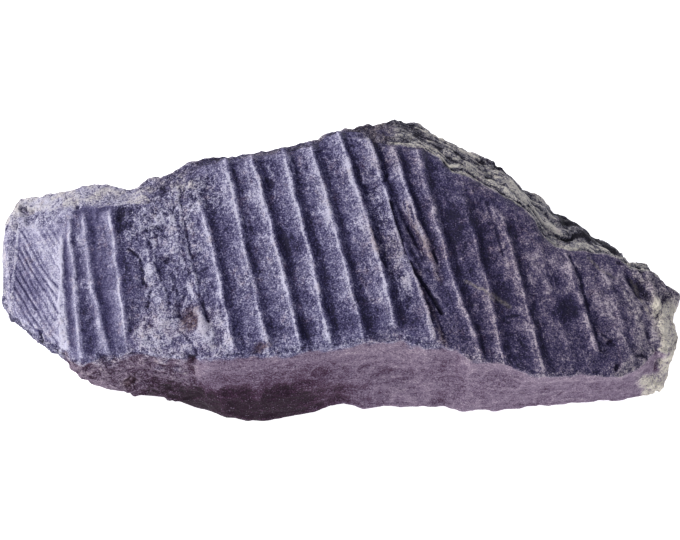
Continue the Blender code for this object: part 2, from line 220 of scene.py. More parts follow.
def smooth_step(share):
    """From 0 to 1 with a soft start and a soft end, and level outside."""
    share = np.clip(share, 0.0, 1.0)
    return share * share * (3.0 - 2.0 * share)


def after(value, start, width):
    """0 up to the start, and 1 from that width past it on."""
    return smooth_step((value - start) / width)


def before(value, end, width):
    """1 until that width short of the end, and 0 from the end on."""
    return smooth_step((end - value) / width)


def wander(*place):
    """Smooth noise between -1 and 1 at each of these places."""
    parts = np.broadcast_arrays(*place)
    flat = [noise.noise(point) for point in zip(*(part.flat for part in parts))]
    return np.array(flat).reshape(parts[0].shape)


def guide_x(phase, y):
    """x at each y of the line with this phase: whole phases run along the crests."""
    first = min(int(phase), len(GUIDES) - 2)
    share = phase - first

    def parabola(guide):
        slope = (guide[0] - guide[2]) / (2.0 * GUIDE_Y)
        bow = (guide[0] + guide[2] - 2.0 * guide[1]) / (2.0 * GUIDE_Y**2)
        return guide[1] + slope * y + bow * y * y

    return (1.0 - share) * parabola(GUIDES[first]) + share * parabola(GUIDES[first + 1])


def meet(phase, outline):
    """Where the line with this phase crosses an outline: y, and z, or 0 if the outline has none."""
    y = 0.0
    for _ in range(MEETING_STEPS):
        x = guide_x(phase, y)
        y = from_table(outline, x)
    z = from_table(outline, x, 2) if outline.shape[1] > 2 else 0.0
    return y, z


def face_height(x):
    """Height of the face below its ribs, which drops towards both ends."""
    share = (x - FACE_MIDDLE_X) / FACE_HALF_LENGTH
    left_break = np.maximum(LEFT_BREAK_FROM_X - x, 0.0) * LEFT_BREAK_SLOPE
    return FACE_HEIGHT - FACE_END_DROP * share * share - left_break


def crest_height(index, y):
    """How far a crest stands over the flutes at each y."""
    guide = GUIDES[index]
    fade = after(y, guide[4], CREST_FADE) * before(y, guide[5], CREST_FADE)
    return guide[3] * fade * (1.0 + CREST_LUMPS * wander(y / 4.0, 5.0 * index, 0.0))


def rib_profile(phase, tall):
    """Height between two crests: a steep drop from the left one and a slow rise to the right one."""
    first = max(math.floor(phase), 0)
    share = phase - first
    if share < FLUTE_DROP_SHARE:
        return tall[first] * (1.0 - share / FLUTE_DROP_SHARE) ** FLUTE_DROP_POWER
    rise = (share - FLUTE_DROP_SHARE) / (1.0 - FLUTE_DROP_SHARE)
    return tall[first + 1] * rise**FLUTE_RISE_POWER


def rib_height(phase, y):
    """The rib's height at this phase, with its crest rounded off."""
    near = range(max(int(phase) - 1, 0), min(int(phase) + 3, len(GUIDES)))
    tall = {index: crest_height(index, y) for index in near}
    steps = [phase + CREST_ROUNDING * step for step in (-1.0, -0.5, 0.0, 0.5, 1.0)]
    steps = [step for step in steps if 0.0 <= step < len(GUIDES) - 1.0] or [phase - 1e-6]
    return sum(rib_profile(step, tall) for step in steps) / len(steps)


def base_height(x):
    """How far the underside is raised at the left, where the slab is undercut."""
    share = np.clip((UNDERCUT_FROM_X - x) / (UNDERCUT_FROM_X - GUIDES[0][1]), 0.0, 1.0)
    return UNDERCUT_RISE * share * share


def from_table(table, at, column=1):
    """The table's value here, on straight lines between its rows."""
    return np.interp(at, table[:, 0], table[:, column])


def spot(x, y, middle_x, middle_y, half_length, half_width, turn):
    """1 in the middle of a slanted oval, and 0 from its edge on."""
    cosine, sine = math.cos(math.radians(turn)), math.sin(math.radians(turn))
    along = ((x - middle_x) * cosine + (y - middle_y) * sine) / half_length
    across = ((y - middle_y) * cosine - (x - middle_x) * sine) / half_width
    return smooth_step(1.5 * (1.0 - np.hypot(along, across)))


def hollow_depth(hollows, x, y):
    depth = np.zeros_like(x)
    for *oval, deepest in hollows:
        depth += deepest * spot(x, y, *oval)
    return depth


def runs_over(x):
    """1 where the ribs run on over the edge to the back rim, 0 where they end before it."""
    first, last = RIBS_OVER
    return after(x, first, RIBS_OVER_FADE) * before(x, last, RIBS_OVER_FADE)


def stretch(start, end, count):
    """Evenly spread points of a ring from the start up to the end."""
    share = np.arange(count)[:, None] / count
    return np.array(start) + (np.array(end) - np.array(start)) * share


def ledges(phase, start, end, count):
    """Points down the broken band in small ledges, crisper towards the right."""
    share = np.arange(count) / count
    step = np.floor(share * LEDGES + 1e-6)
    within = share * LEDGES - step
    riser = within < 0.5
    half = np.where(riser, within * 2.0, within * 2.0 - 1.0)
    short, long = (1.0 - LEDGE_FLATNESS) * half, LEDGE_FLATNESS * half
    out = (step + np.where(riser, short, 1.0 - LEDGE_FLATNESS + long)) / LEDGES
    down = (step + np.where(riser, long, LEDGE_FLATNESS + short)) / LEDGES
    x = guide_x(phase, start[0])
    crisp = from_table(LEDGE_CRISPNESS, x)
    uneven = LEDGE_WANDER * wander(x / 5.0, 3.0 * step, 9.0) * np.minimum(share, 1.0 - share) * 4.0
    out = share + crisp * (out - share) + uneven
    down = share + crisp * (down - share)
    return np.array(start) + np.column_stack((out, down)) * (np.array(end) - np.array(start))


def section(phase):
    """The closed ring of points along the line with this phase."""
    foot_y, foot_z = meet(phase, FRONT_FOOT)
    rim_y, rim_z = meet(phase, BACK_RIM)
    front_y, _ = meet(phase, FRONT_LIP)
    back_y, _ = meet(phase, BACK_LIP)
    middle_x = guide_x(phase, 0.0)
    base_front = foot_y + BASE_INSET_FRONT + BASE_WANDER * wander(middle_x / 7.0, 1.0, 2.0)
    base_back = rim_y - BASE_INSET_BACK + BASE_WANDER * wander(middle_x / 7.0, 5.0, 2.0)
    front_z = face_height(guide_x(phase, front_y)) - EDGE_ROUNDING
    back_z = face_height(guide_x(phase, back_y)) - EDGE_ROUNDING

    under_lines = FRONT_LINES // 7
    base = stretch((base_back, 0.0), (base_front, 0.0), BASE_LINES)
    under = stretch((base_front, 0.0), (foot_y, foot_z), under_lines)
    front = stretch((foot_y, foot_z), (front_y, front_z), FRONT_LINES - under_lines)
    face = stretch((front_y, 0.0), (back_y, 0.0), FACE_LINES)
    band = ledges(phase, (back_y, back_z), (rim_y, rim_z), BAND_LINES)
    over = runs_over(guide_x(phase, back_y))
    out = np.arange(BAND_LINES) / BAND_LINES
    rounded = EDGE_ROUNDING * (1.0 - out) ** 2 + 4.0 * RIBS_OVER_ROUNDING * out * (1.0 - out)
    band[:, 1] += over * (rounded + rib_height(phase, band[:, 0]) * before(out, 1.1, 0.6))
    back = stretch((rim_y, rim_z), (base_back, 0.0), BACK_LINES)

    ring = np.vstack((base, under, front, face, band, back))
    y, z = ring[:, 0], ring[:, 1]
    x = guide_x(phase, y)
    z = z + base_height(x) * (1.0 - np.clip(z / foot_z, 0.0, 1.0))
    flat = slice(1, FRONT_START)
    z[flat] += hollow_depth(BASE_HOLLOWS, x[flat], y[flat])

    on_face = slice(FACE_START, BAND_START)
    to_lip = np.minimum(y[on_face] - front_y, back_y - y[on_face] + 5.0 * EDGE_ROUNDING_REACH * over)
    fade = RIB_FADE * (1.0 + before(y[on_face], back_y - 6.0, 12.0))
    within = smooth_step(to_lip / fade)
    x[on_face] += CREST_WANDER * within * wander(phase / 1.5, y[on_face] / 4.5, 4.0)
    z[on_face] = (
        face_height(x[on_face])
        - EDGE_ROUNDING * np.exp(-to_lip / EDGE_ROUNDING_REACH)
        + rib_height(phase, y[on_face]) * within
        - hollow_depth(FACE_HOLLOWS, x[on_face], y[on_face]) * within
    )
    return np.column_stack((x, y, z))


def end_cap(ring, end, nose_height, side):
    """Rings that close an end, from its last section to its nose."""
    middle_y = (ring[:, 1].min() + ring[:, 1].max()) / 2.0
    rows = []
    for line in range(1, CAP_LINES + 1):
        left = max(math.cos(line / CAP_LINES * math.pi / 2.0), 0.0) ** (2.0 / END_POWER)
        y = middle_y + (ring[:, 1] - middle_y) * (1.0 - (1.0 - left) ** 2)
        z = nose_height + (ring[:, 2] - nose_height) * left
        reach = from_table(end, y) - ring[:, 0]
        reach = side * np.maximum(side * reach, 0.0)
        x = ring[:, 0] + reach * (1.0 - left**END_POWER) ** (1.0 / END_POWER)
        rows.append(np.column_stack((x, y, z)))
    return rows


def fine_phases():
    """The phase of every row between the two end caps."""
    phases = []
    for first in range(len(GUIDES) - 1):
        step = FACET_ROW_STEP if first == 0 else ROW_STEP
        count = max(6, round((GUIDES[first + 1, 1] - GUIDES[first, 1]) / step))
        phases += [first + line / count for line in range(count)]
    return np.array((*phases, len(GUIDES) - 1.0))


def rough_stone():
    """The slab's rows of points before the small relief, and the phase of each row."""
    phases = fine_phases()
    sections = [section(phase) for phase in phases]
    left = end_cap(sections[0], LEFT_END, LEFT_NOSE_HEIGHT, -1.0)
    right = end_cap(sections[-1], RIGHT_END, RIGHT_NOSE_HEIGHT, 1.0)
    rows = np.array((*reversed(left), *sections, *right))
    phases = np.concatenate((np.full(CAP_LINES, BEFORE_RIBS), phases, np.full(CAP_LINES, AFTER_RIBS)))

    for point, looks in BREAKS:
        way = np.array(looks) / np.linalg.norm(looks)
        rows -= np.maximum((rows - point) @ way, 0.0)[..., None] * way

    noise.seed_set(SEED)
    below_face = face_height(rows[..., 0]) - rows[..., 2]
    on_face = before(below_face, FACE_SKIN, FACE_SKIN)
    strength = smooth_step(rows[..., 2] / ROUGH_ABOVE) * (1.0 - (1.0 - FACE_SHARE) * on_face)
    bend = np.zeros_like(rows)
    for size, height, hard in WAVES:
        points = (rows / size).reshape(-1, 3).tolist()
        wave = np.array([noise.turbulence_vector(point, 1, hard)[:] for point in points])
        bend += height * wave.reshape(rows.shape)
    rows = rows + strength[..., None] * bend
    corner = from_table(RIGHT_CORNER, rows[..., 0])
    rows[..., 1] -= CORNER_SHARE * np.maximum(rows[..., 1] - corner, 0.0)
    near = smooth_step(1.4 * (1.0 - np.linalg.norm(rows - KNOB, axis=2) / KNOB_REACH))
    rows += near[..., None] * KNOB_PUSH
    return rows, phases


def unit(vectors):
    """The vectors, each one unit long."""
    return vectors / np.maximum(np.linalg.norm(vectors, axis=2, keepdims=True), 1e-9)


def outward(rows):
    """The unit normal at every point of the closed rows."""
    along = np.gradient(rows, axis=0)
    around = np.roll(rows, -1, axis=1) - np.roll(rows, 1, axis=1)
    return unit(np.cross(along, around))


def blur(field, times):
    """The field smoothed over its grid: closed round each ring, open along the slab."""
    for _ in range(times):
        field = 0.5 * field + 0.25 * (np.roll(field, 1, axis=1) + np.roll(field, -1, axis=1))
        previous, following = np.roll(field, 1, axis=0), np.roll(field, -1, axis=0)
        previous[0], following[-1] = field[0], field[-1]
        field = 0.5 * field + 0.25 * (previous + following)
    return field


def near_line(x, y, points, reach):
    """1 on a line through the points, and 0 at the reach from it."""
    nearest = np.full_like(x, np.inf)
    for (x0, y0), (x1, y1) in zip(points, points[1:]):
        long = np.hypot(x1 - x0, y1 - y0)
        share = np.clip(((x - x0) * (x1 - x0) + (y - y0) * (y1 - y0)) / long**2, 0.0, 1.0)
        nearest = np.minimum(nearest, np.hypot(x - x0 - share * (x1 - x0), y - y0 - share * (y1 - y0)))
    return smooth_step(1.0 - nearest / reach)


def between(value, low, high, soft):
    """1 between the two limits and 0 outside them, with soft edges that lie over the limits."""
    return smooth_step((value - low) / soft + 0.5) * smooth_step((high - value) / soft + 0.5)


# Sizes of the stone's noise, from patches down to grains, and of its crumbs.
PATCH_SIZE = 9.0
COARSE_SIZE = 5.2
LUMP_SIZE = 2.4
GRAIN_SIZE = 1.15
CRUMB_SIZE = 2.6
FINE_CRUMB_SIZE = 1.2
# The swelling among the flaked ribs and the crust before the back edge, as ovals: (x, y, half
# length, half width, turn in degrees).
SWELLING = (-44.2, -3.6, 8.6, 2.5, 104.0)
CRUST_PATCH = (-33.0, 15.8, 4.6, 3.2, 0.0)
# Phases between which the ribs have flaked off, and the first and last x of other stretches. That
# of the torn strips is where they cross y = 0, because they lie aslant.
FLAKED = (4.15, 6.6)
TORN = (8.2, 12.6)
MATRIX_BAND = (1.0, 13.0)
# The stretch of the band that faces away from the lamp, where its layers are lightened with painted light.
BAND_PAINTED_LIGHT = (36.0, 46.0)
DARK_LEDGE = (46.4, 60.4)
# The slanted striations of the left facet.
STRIATIONS = (
    ((-69.4, 10.3), (-66.9, 5.8), (-63.2, -1.0), (-59.8, -5.5)),
    ((-69.5, 8.2), (-67.0, 3.5), (-63.5, -2.6), (-59.7, -7.9)),
    ((-69.6, 6.3), (-66.3, 0.0), (-62.7, -5.9), (-59.4, -11.3)),
    ((-69.5, 4.0), (-65.5, -3.9), (-60.1, -12.7)),
    ((-69.7, 1.5), (-66.0, -5.0), (-59.6, -16.0)),
    ((-69.9, -0.7), (-65.1, -8.5), (-59.6, -17.6)),
    ((-70.0, -3.1), (-65.8, -10.3), (-61.4, -16.8)),
    ((-69.9, -5.6), (-66.9, -10.6), (-63.4, -15.6)),
)
# Thin raised lines: (height, half width, paleness, points).
RIDGES = (
    (0.2, 0.4, 0.3, ((-59.6, 7.0), (-59.7, 3.3), (-58.9, -1.7), (-59.2, -6.1), (-59.4, -10.9),
        (-58.1, -15.1), (-56.4, -19.7), (-54.2, -23.8))),
    (0.3, 0.5, 0.6, ((-59.2, -20.0), (-58.1, -17.3), (-58.9, -14.6))),
    (0.3, 0.5, 0.5, ((-59.8, -19.3), (-59.2, -21.3), (-56.4, -23.9))),
    (0.35, 0.4, 0.8, ((-39.9, 2.6), (-39.7, 1.4), (-39.3, -1.4), (-38.5, -4.6), (-37.5, -7.0),
        (-36.3, -9.5))),
    (0.7, 1.4, 0.5, ((-29.6, -12.4), (-28.7, -16.0), (-28.0, -20.0))),
    (0.35, 0.45, 0.5, ((-34.6, 14.6), (-34.0, 10.0), (-33.2, 5.0), (-32.0, 0.0), (-30.6, -5.0),
        (-29.9, -10.0))),
    (0.4, 1.2, 0.5, ((-27.4, -15.8), (-26.6, -18.0), (-26.9, -21.0))),
    (0.3, 0.5, 0.5, ((-38.6, 9.0), (-40.0, 5.6), (-39.2, 2.0))),
    (0.8, 1.1, 0.5, ((65.0, -1.6), (66.6, -5.0), (67.2, -8.6))),
    (0.9, 1.4, 0.6, ((67.6, -12.0), (68.8, -15.0), (67.8, -18.6))),
    (0.4, 0.5, 1.0, ((47.4, 1.5), (49.5, -4.2), (51.3, -12.3), (53.4, -19.6))),
    (0.2, 0.4, 0.35, ((34.2, 8.0), (35.2, 4.0), (36.4, -0.4), (37.6, -6.0))),
    (0.2, 0.4, 0.35, ((39.4, -14.0), (40.6, -19.0), (41.6, -24.0))),
    (0.2, 0.4, 0.35, ((26.0, 14.0), (26.9, 9.1), (28.2, 3.9), (29.1, -2.4))),
    (0.25, 0.5, 0.4, ((58.3, -2.9), (61.0, -8.2), (63.3, -13.6), (64.9, -18.6))),
    (0.3, 0.5, 0.4, ((-11.0, 21.0), (-10.2, 19.0), (-9.9, 17.2))),
    (0.3, 0.4, 0.35, ((-16.1, 20.1), (-15.3, 18.7), (-14.4, 17.2))),
    (0.3, 0.35, 0.7, ((-69.7, 14.0), (-69.5, 8.5), (-69.8, 0.3), (-70.2, -5.8))),
    (0.35, 0.4, 0.8, ((62.0, 1.4), (63.6, -2.1), (65.1, -6.9), (66.1, -10.7), (65.4, -16.3))),
)  # fmt: skip
# Grooves: (depth, half width, painted shade in the groove, points). The crack and the gash come first.
GROOVES = (
    (0.5, 0.34, 1.1, ((-45.1, 1.9), (-43.8, 1.1), (-42.4, -0.2), (-41.9, -1.4), (-41.7, -3.3),
        (-41.4, -5.6), (-40.3, -6.9), (-39.8, -8.3), (-40.3, -10.3), (-40.6, -11.3))),
    (1.1, 0.75, 1.0, ((10.7, 10.8), (12.0, 5.6), (13.7, -0.4), (15.8, -4.7), (17.8, -7.6),
        (19.2, -10.2), (20.9, -13.0))),
    (0.45, 0.5, 0.55, ((-34.3, 3.5), (-33.3, 0.3), (-32.2, -3.5), (-31.3, -6.6), (-29.8, -8.8),
        (-28.1, -12.9), (-27.5, -15.3))),
    (0.3, 0.4, 0.5, ((-35.6, -4.0), (-35.0, -5.6), (-34.2, -8.6))),
    (0.35, 0.5, 0.5, ((-33.9, -16.4), (-32.1, -17.9), (-30.6, -19.8), (-29.9, -21.9))),
    (0.2, 0.35, 0.35, ((-34.0, 12.6), (-33.2, 8.0), (-32.5, 4.0), (-31.2, -1.0))),
    (0.45, 0.45, 0.6, ((-35.9, 13.0), (-35.3, 11.1), (-35.6, 9.4))),
    (0.2, 0.35, 0.4, ((5.0, 15.0), (6.2, 14.0), (7.6, 14.4), (9.4, 15.8), (9.9, 17.4))),
    (0.15, 0.3, 0.3, ((4.6, 14.2), (5.6, 13.2), (6.8, 13.5))),
    (0.15, 0.3, 0.3, ((6.2, 12.4), (7.4, 12.9), (8.6, 12.6))),
    (0.4, 0.5, 0.6, ((16.8, -7.7), (18.6, -12.7), (20.0, -19.0))),
    (0.4, 0.5, 0.6, ((14.0, 6.0), (15.6, 2.0), (17.2, -1.6))),
    (0.3, 0.5, 0.4, ((30.9, 12.0), (32.6, 6.0), (34.2, 0.0))),
    (0.25, 0.45, 0.4, ((34.5, -13.6), (37.3, -13.0), (39.6, -15.0))),
    (0.2, 0.4, 0.3, ((35.1, -17.5), (37.4, -16.4), (39.3, -16.9))),
    (0.25, 0.45, 0.4, ((31.9, -1.9), (33.0, 0.6), (34.9, 2.0))),
    (0.3, 0.5, 0.4, ((54.8, -15.8), (57.0, -17.2), (59.0, -16.6))),
    (0.3, 0.4, 0.2, ((48.4, 1.3), (50.5, -4.2), (52.3, -12.3), (54.4, -19.6))),
    (1.0, 1.2, 0.9, ((63.6, -4.0), (65.0, -6.6), (66.0, -9.8))),
    (0.8, 1.1, 0.7, ((69.2, -5.6), (68.2, -8.0), (67.4, -10.6))),
    (0.5, 0.8, 0.5, ((60.8, 1.8), (63.0, 1.0), (64.6, -1.4))),
    (0.5, 0.7, 0.5, ((69.0, -14.0), (68.4, -17.0), (66.8, -20.4))),
)  # fmt: skip
# Fibrous brownish strips beside the gash: (half width, points).
FIBRES = (
    (1.7, ((13.6, 10.5), (15.9, 4.9), (17.9, 2.0), (19.3, -1.7), (20.4, -5.6))),
    (1.3, ((15.9, -4.6), (18.0, -11.0), (20.2, -17.0), (21.4, -20.0))),
    (0.8, ((6.2, 4.4), (6.8, 3.0), (7.8, -0.5), (9.6, -4.1))),
)
# Pits: (x, y, half length, half width, turn in degrees, depth, brown inside).
PITS = (
    (-68.2, 14.2, 2.2, 1.2, 128.0, 2.4, 0.0),
    (-63.6, -15.0, 1.9, 0.7, 124.0, 0.7, 0.0),
    (-56.6, 13.4, 1.6, 0.9, 100.0, 0.9, 0.0),
    (-46.7, 10.8, 2.6, 1.3, 95.0, 0.7, 0.0),
    (-37.2, -0.6, 1.9, 1.1, 110.0, 0.5, 0.1),
    (-31.3, -14.2, 4.2, 2.8, 70.0, 0.1, 1.0),
    (-31.1, -23.1, 2.2, 1.4, 110.0, 0.4, 0.2),
    (-45.0, -24.6, 2.3, 1.0, 30.0, 0.5, 0.9),
    (-49.6, -20.8, 1.5, 0.9, 10.0, 0.5, 0.2),
    (-53.4, -22.0, 1.2, 0.8, 150.0, 0.5, 0.0),
    (-31.6, -21.8, 1.8, 1.0, 120.0, 0.5, 0.0),
    (-16.6, -21.2, 2.6, 1.6, 20.0, 0.3, 0.9),
    (-15.2, 15.4, 2.2, 0.9, 112.0, 0.3, 0.0),
    (38.0, -18.6, 3.6, 1.7, 108.0, 0.4, 0.0),
    (51.0, -17.5, 3.0, 1.6, 70.0, 0.3, 0.0),
    (56.4, -17.7, 1.2, 0.7, 10.0, 0.5, 0.0),
    (57.9, -23.0, 1.4, 0.9, 80.0, 0.7, 0.1),
    (63.0, -19.6, 1.9, 0.8, 25.0, 0.6, 0.0),
    (59.5, 0.5, 1.8, 1.0, 10.0, 0.5, 0.3),
    (46.0, -26.6, 0.7, 0.6, 0.0, 0.4, 0.0),
)
# Flat chips and plates with sharp edges: (height, edge, paleness, corners, anticlockwise).
PLATES = (
    (0.15, 0.25, 0.3, ((-41.5, -2.7), (-41.1, -5.4), (-39.8, -6.0), (-38.4, -4.9), (-39.5, 0.6),
        (-40.8, -0.6))),
    (0.45, 0.3, 0.5, ((-40.5, 4.3), (-40.4, 2.3), (-38.4, 2.2), (-38.6, 4.2))),
    (0.4, 0.6, 0.2, ((-36.6, 17.8), (-36.6, 14.6), (-33.4, 13.2), (-29.4, 13.6), (-29.8, 18.4),
        (-34.4, 19.5))),
    (0.45, 0.3, 0.0, ((1.0, 26.0), (3.0, 19.4), (4.5, 14.8), (7.2, 15.5), (9.3, 17.0), (8.0, 21.0),
        (6.0, 26.0))),
    (0.3, 0.3, 0.8, ((42.4, -7.2), (42.4, -8.0), (43.8, -8.4), (44.2, -7.8), (43.2, -7.2))),
    (0.3, 0.3, 0.6, ((-12.9, -1.2), (-12.6, -2.4), (-11.7, -3.6), (-11.4, -3.2), (-12.0, -1.4))),
)  # fmt: skip
# Thin tan seams: (half width, strength, points).
SEAMS = (
    (0.5, 0.5, ((25.9, -6.0), (30.4, -8.2), (31.7, -10.4))),
    (0.7, 0.35, ((31.0, -8.6), (35.2, -11.3))),
    (0.45, 0.45, ((52.3, 1.1), (54.4, -1.3), (58.3, -3.2))),
    (0.5, 0.6, ((61.6, -2.9), (63.6, -7.2), (65.9, -12.2), (67.3, -15.4))),
)
# Some clouds are the stone's own tone, and some lighter ones are painted highlights on the ribs.
# Lighter and darker clouds: (x, y, half length, half width, turn, lightness).
CLOUDS = (
    (-64.0, 11.5, 9.0, 5.0, 10.0, 0.14),
    (-66.5, -3.0, 6.0, 9.0, 0.0, -0.1),
    (-54.5, -2.0, 2.2, 14.0, 10.0, 0.06),
    (-44.4, -3.0, 8.5, 3.0, 104.0, -0.12),
    (-36.5, -18.0, 13.0, 5.5, 0.0, 0.06),
    (-27.2, -18.0, 1.8, 4.6, 14.0, 0.12),
    (-31.2, -12.2, 2.2, 1.6, 60.0, -0.26),
    (-36.0, 9.0, 5.0, 6.0, 0.0, 0.1),
    (-34.0, -4.0, 3.0, 6.0, 10.0, -0.1),
    (-10.5, 1.2, 5.0, 3.6, 10.0, -0.22),
    (-17.5, 10.0, 3.0, 7.0, 14.0, 0.1),
    (-19.0, -6.0, 3.0, 8.0, 14.0, -0.06),
    (-3.0, 10.0, 3.0, 9.0, 14.0, 0.1),
    (-8.0, -17.0, 5.0, 3.0, 0.0, -0.16),
    (4.5, -15.0, 7.0, 6.0, 0.0, -0.14),
    (3.0, 5.0, 4.0, 6.0, 14.0, 0.08),
    (15.0, -13.0, 6.0, 5.0, 0.0, -0.1),
    (20.5, 12.0, 3.0, 7.0, 14.0, -0.1),
    (27.5, 3.0, 5.0, 13.0, 14.0, -0.14),
    (24.4, 7.5, 4.0, 5.0, 0.0, -0.26),
    (31.4, 10.0, 5.0, 2.0, 8.0, 0.1),
    (30.8, 6.6, 3.6, 2.6, 0.0, -0.14),
    (25.5, -4.4, 4.0, 3.0, 0.0, -0.14),
    (34.6, -9.0, 5.0, 3.4, 120.0, -0.2),
    (43.0, -0.4, 6.4, 2.8, 4.0, 0.22),
    (41.0, -4.0, 5.0, 3.4, 150.0, 0.1),
    (20.6, 10.0, 2.2, 7.0, 14.0, 0.18),
    (25.6, -4.0, 1.6, 6.0, 14.0, 0.08),
    (30.0, 1.6, 1.6, 6.0, 14.0, 0.1),
    (-65.0, 16.0, 8.0, 2.6, 0.0, 0.08),
    (-55.6, 11.4, 2.2, 2.6, 0.0, -0.2),
    (-65.0, 15.6, 5.0, 2.4, 0.0, 0.14),
    (-51.6, 11.4, 1.6, 3.2, 0.0, -0.16),
    (-46.0, 9.0, 2.4, 4.2, 0.0, -0.24),
    (14.0, -7.4, 1.8, 4.4, 14.0, 0.24),
    (19.8, 7.2, 1.5, 6.0, 14.0, 0.16),
    (47.0, -10.8, 3.6, 4.6, 20.0, -0.14),
    (36.4, 6.0, 3.0, 4.0, 0.0, -0.06),
    (47.5, -11.6, 5.4, 3.6, 12.0, -0.24),
    (55.6, -9.5, 4.6, 3.6, 0.0, 0.16),
    (57.5, -3.6, 5.0, 3.0, 150.0, 0.12),
    (39.5, -22.5, 6.0, 4.0, 20.0, -0.2),
    (57.0, -20.0, 7.0, 4.0, 0.0, -0.1),
    (32.0, -18.5, 7.0, 3.4, 20.0, -0.06),
)
# Where the tan right end begins: x at each y.
TAN_FROM = np.array((
    (-30.0, 66.0), (-24.0, 62.0), (-20.0, 66.0), (-15.4, 67.2), (-12.2, 65.9), (-7.2, 63.6),
    (-2.9, 61.6), (2.0, 59.6), (8.0, 56.5),
))  # fmt: skip


def inside(x, y, corners, edge):
    """1 inside a polygon whose corners run anticlockwise and which has no inward corner."""
    nearest = np.full_like(x, np.inf)
    for (x0, y0), (x1, y1) in zip(corners, (*corners[1:], corners[0])):
        long = math.hypot(x1 - x0, y1 - y0)
        nearest = np.minimum(nearest, ((x1 - x0) * (y - y0) - (y1 - y0) * (x - x0)) / long)
    return smooth_step(nearest / edge)


def crumbled(x, y, z, size):
    """Noise like broken stone, with rounded crumbs and sharp creases between them."""
    soft = wander(x / size, y / size, z / size)
    return 0.9 * np.abs(wander(x / size + 9.0, y / size, z / size)) + 0.5 * soft - 0.2


class Surface:
    """The slab's grid of points, the height its small relief adds there, and its marks."""

    def __init__(self, rows, phases):
        x, y, z = np.moveaxis(rows, 2, 0)
        self.x, self.y, self.z = x, y, z
        self.line = np.arange(len(rows), dtype=float)[:, None] + np.zeros_like(x)
        self.ring = np.arange(RING_POINTS, dtype=float)[None, :] + np.zeros_like(x)
        self.phase = phases[:, None] + np.zeros_like(x)
        self.height = np.zeros_like(x)
        self.marks = {"tone": np.zeros_like(x)}

        self.coarse, self.lumps, self.grains = (
            wander(x / size, y / size, z / size) for size in (COARSE_SIZE, LUMP_SIZE, GRAIN_SIZE)
        )
        self.crumbs = crumbled(x, y, z + 40.0, CRUMB_SIZE)
        self.fine_crumbs = crumbled(x, y, z + 80.0, FINE_CRUMB_SIZE)
        self.patches = wander(x / PATCH_SIZE, y / PATCH_SIZE, z / PATCH_SIZE + 7.0)

        last = len(rows) - 1.0
        self.face = between(self.ring, FACE_START, BAND_START, 3.0)
        self.front = between(self.ring, FRONT_START, FACE_START, 3.0)
        self.below = before(self.ring, FACE_START + 2.6 * self.lumps + 1.8 * self.grains, 2.0)
        self.band = between(self.ring, BAND_START, BACK_START, 3.0)
        self.back = between(self.ring, BACK_START, RING_POINTS + 6.0, 8.0)
        self.out = np.clip((self.ring - BAND_START) / BAND_LINES, 0.0, 1.0)
        self.up = np.clip((self.ring - FRONT_START) / FRONT_LINES, 0.0, 1.0)
        ribs_end = 0.62 + 0.12 * self.lumps + 0.1 * self.patches
        self.over = self.band * runs_over(x) * before(self.out, ribs_end, 0.14)
        self.ribbed = np.clip(self.face + self.over, 0.0, 1.0)
        self.left_cap = smooth_step((CAP_LINES - self.line) / 6.0 + 0.5)
        self.right_cap = smooth_step((self.line - last + CAP_LINES) / 6.0 + 0.5)

    def add(self, height):
        self.height += height

    def crumble(self, where, crumbs, fine_crumbs, lumps=0.0, crumbly=0.0):
        """Adds broken stone in these places, and marks them this crumbly."""
        self.add(where * (crumbs * self.crumbs + fine_crumbs * self.fine_crumbs + lumps * self.lumps))
        if crumbly:
            self.mark("crumbly", crumbly * where)

    def tone(self, lightness):
        self.marks["tone"] += lightness

    def mark(self, name, strength):
        self.marks[name] = np.maximum(self.marks.get(name, 0.0), strength)


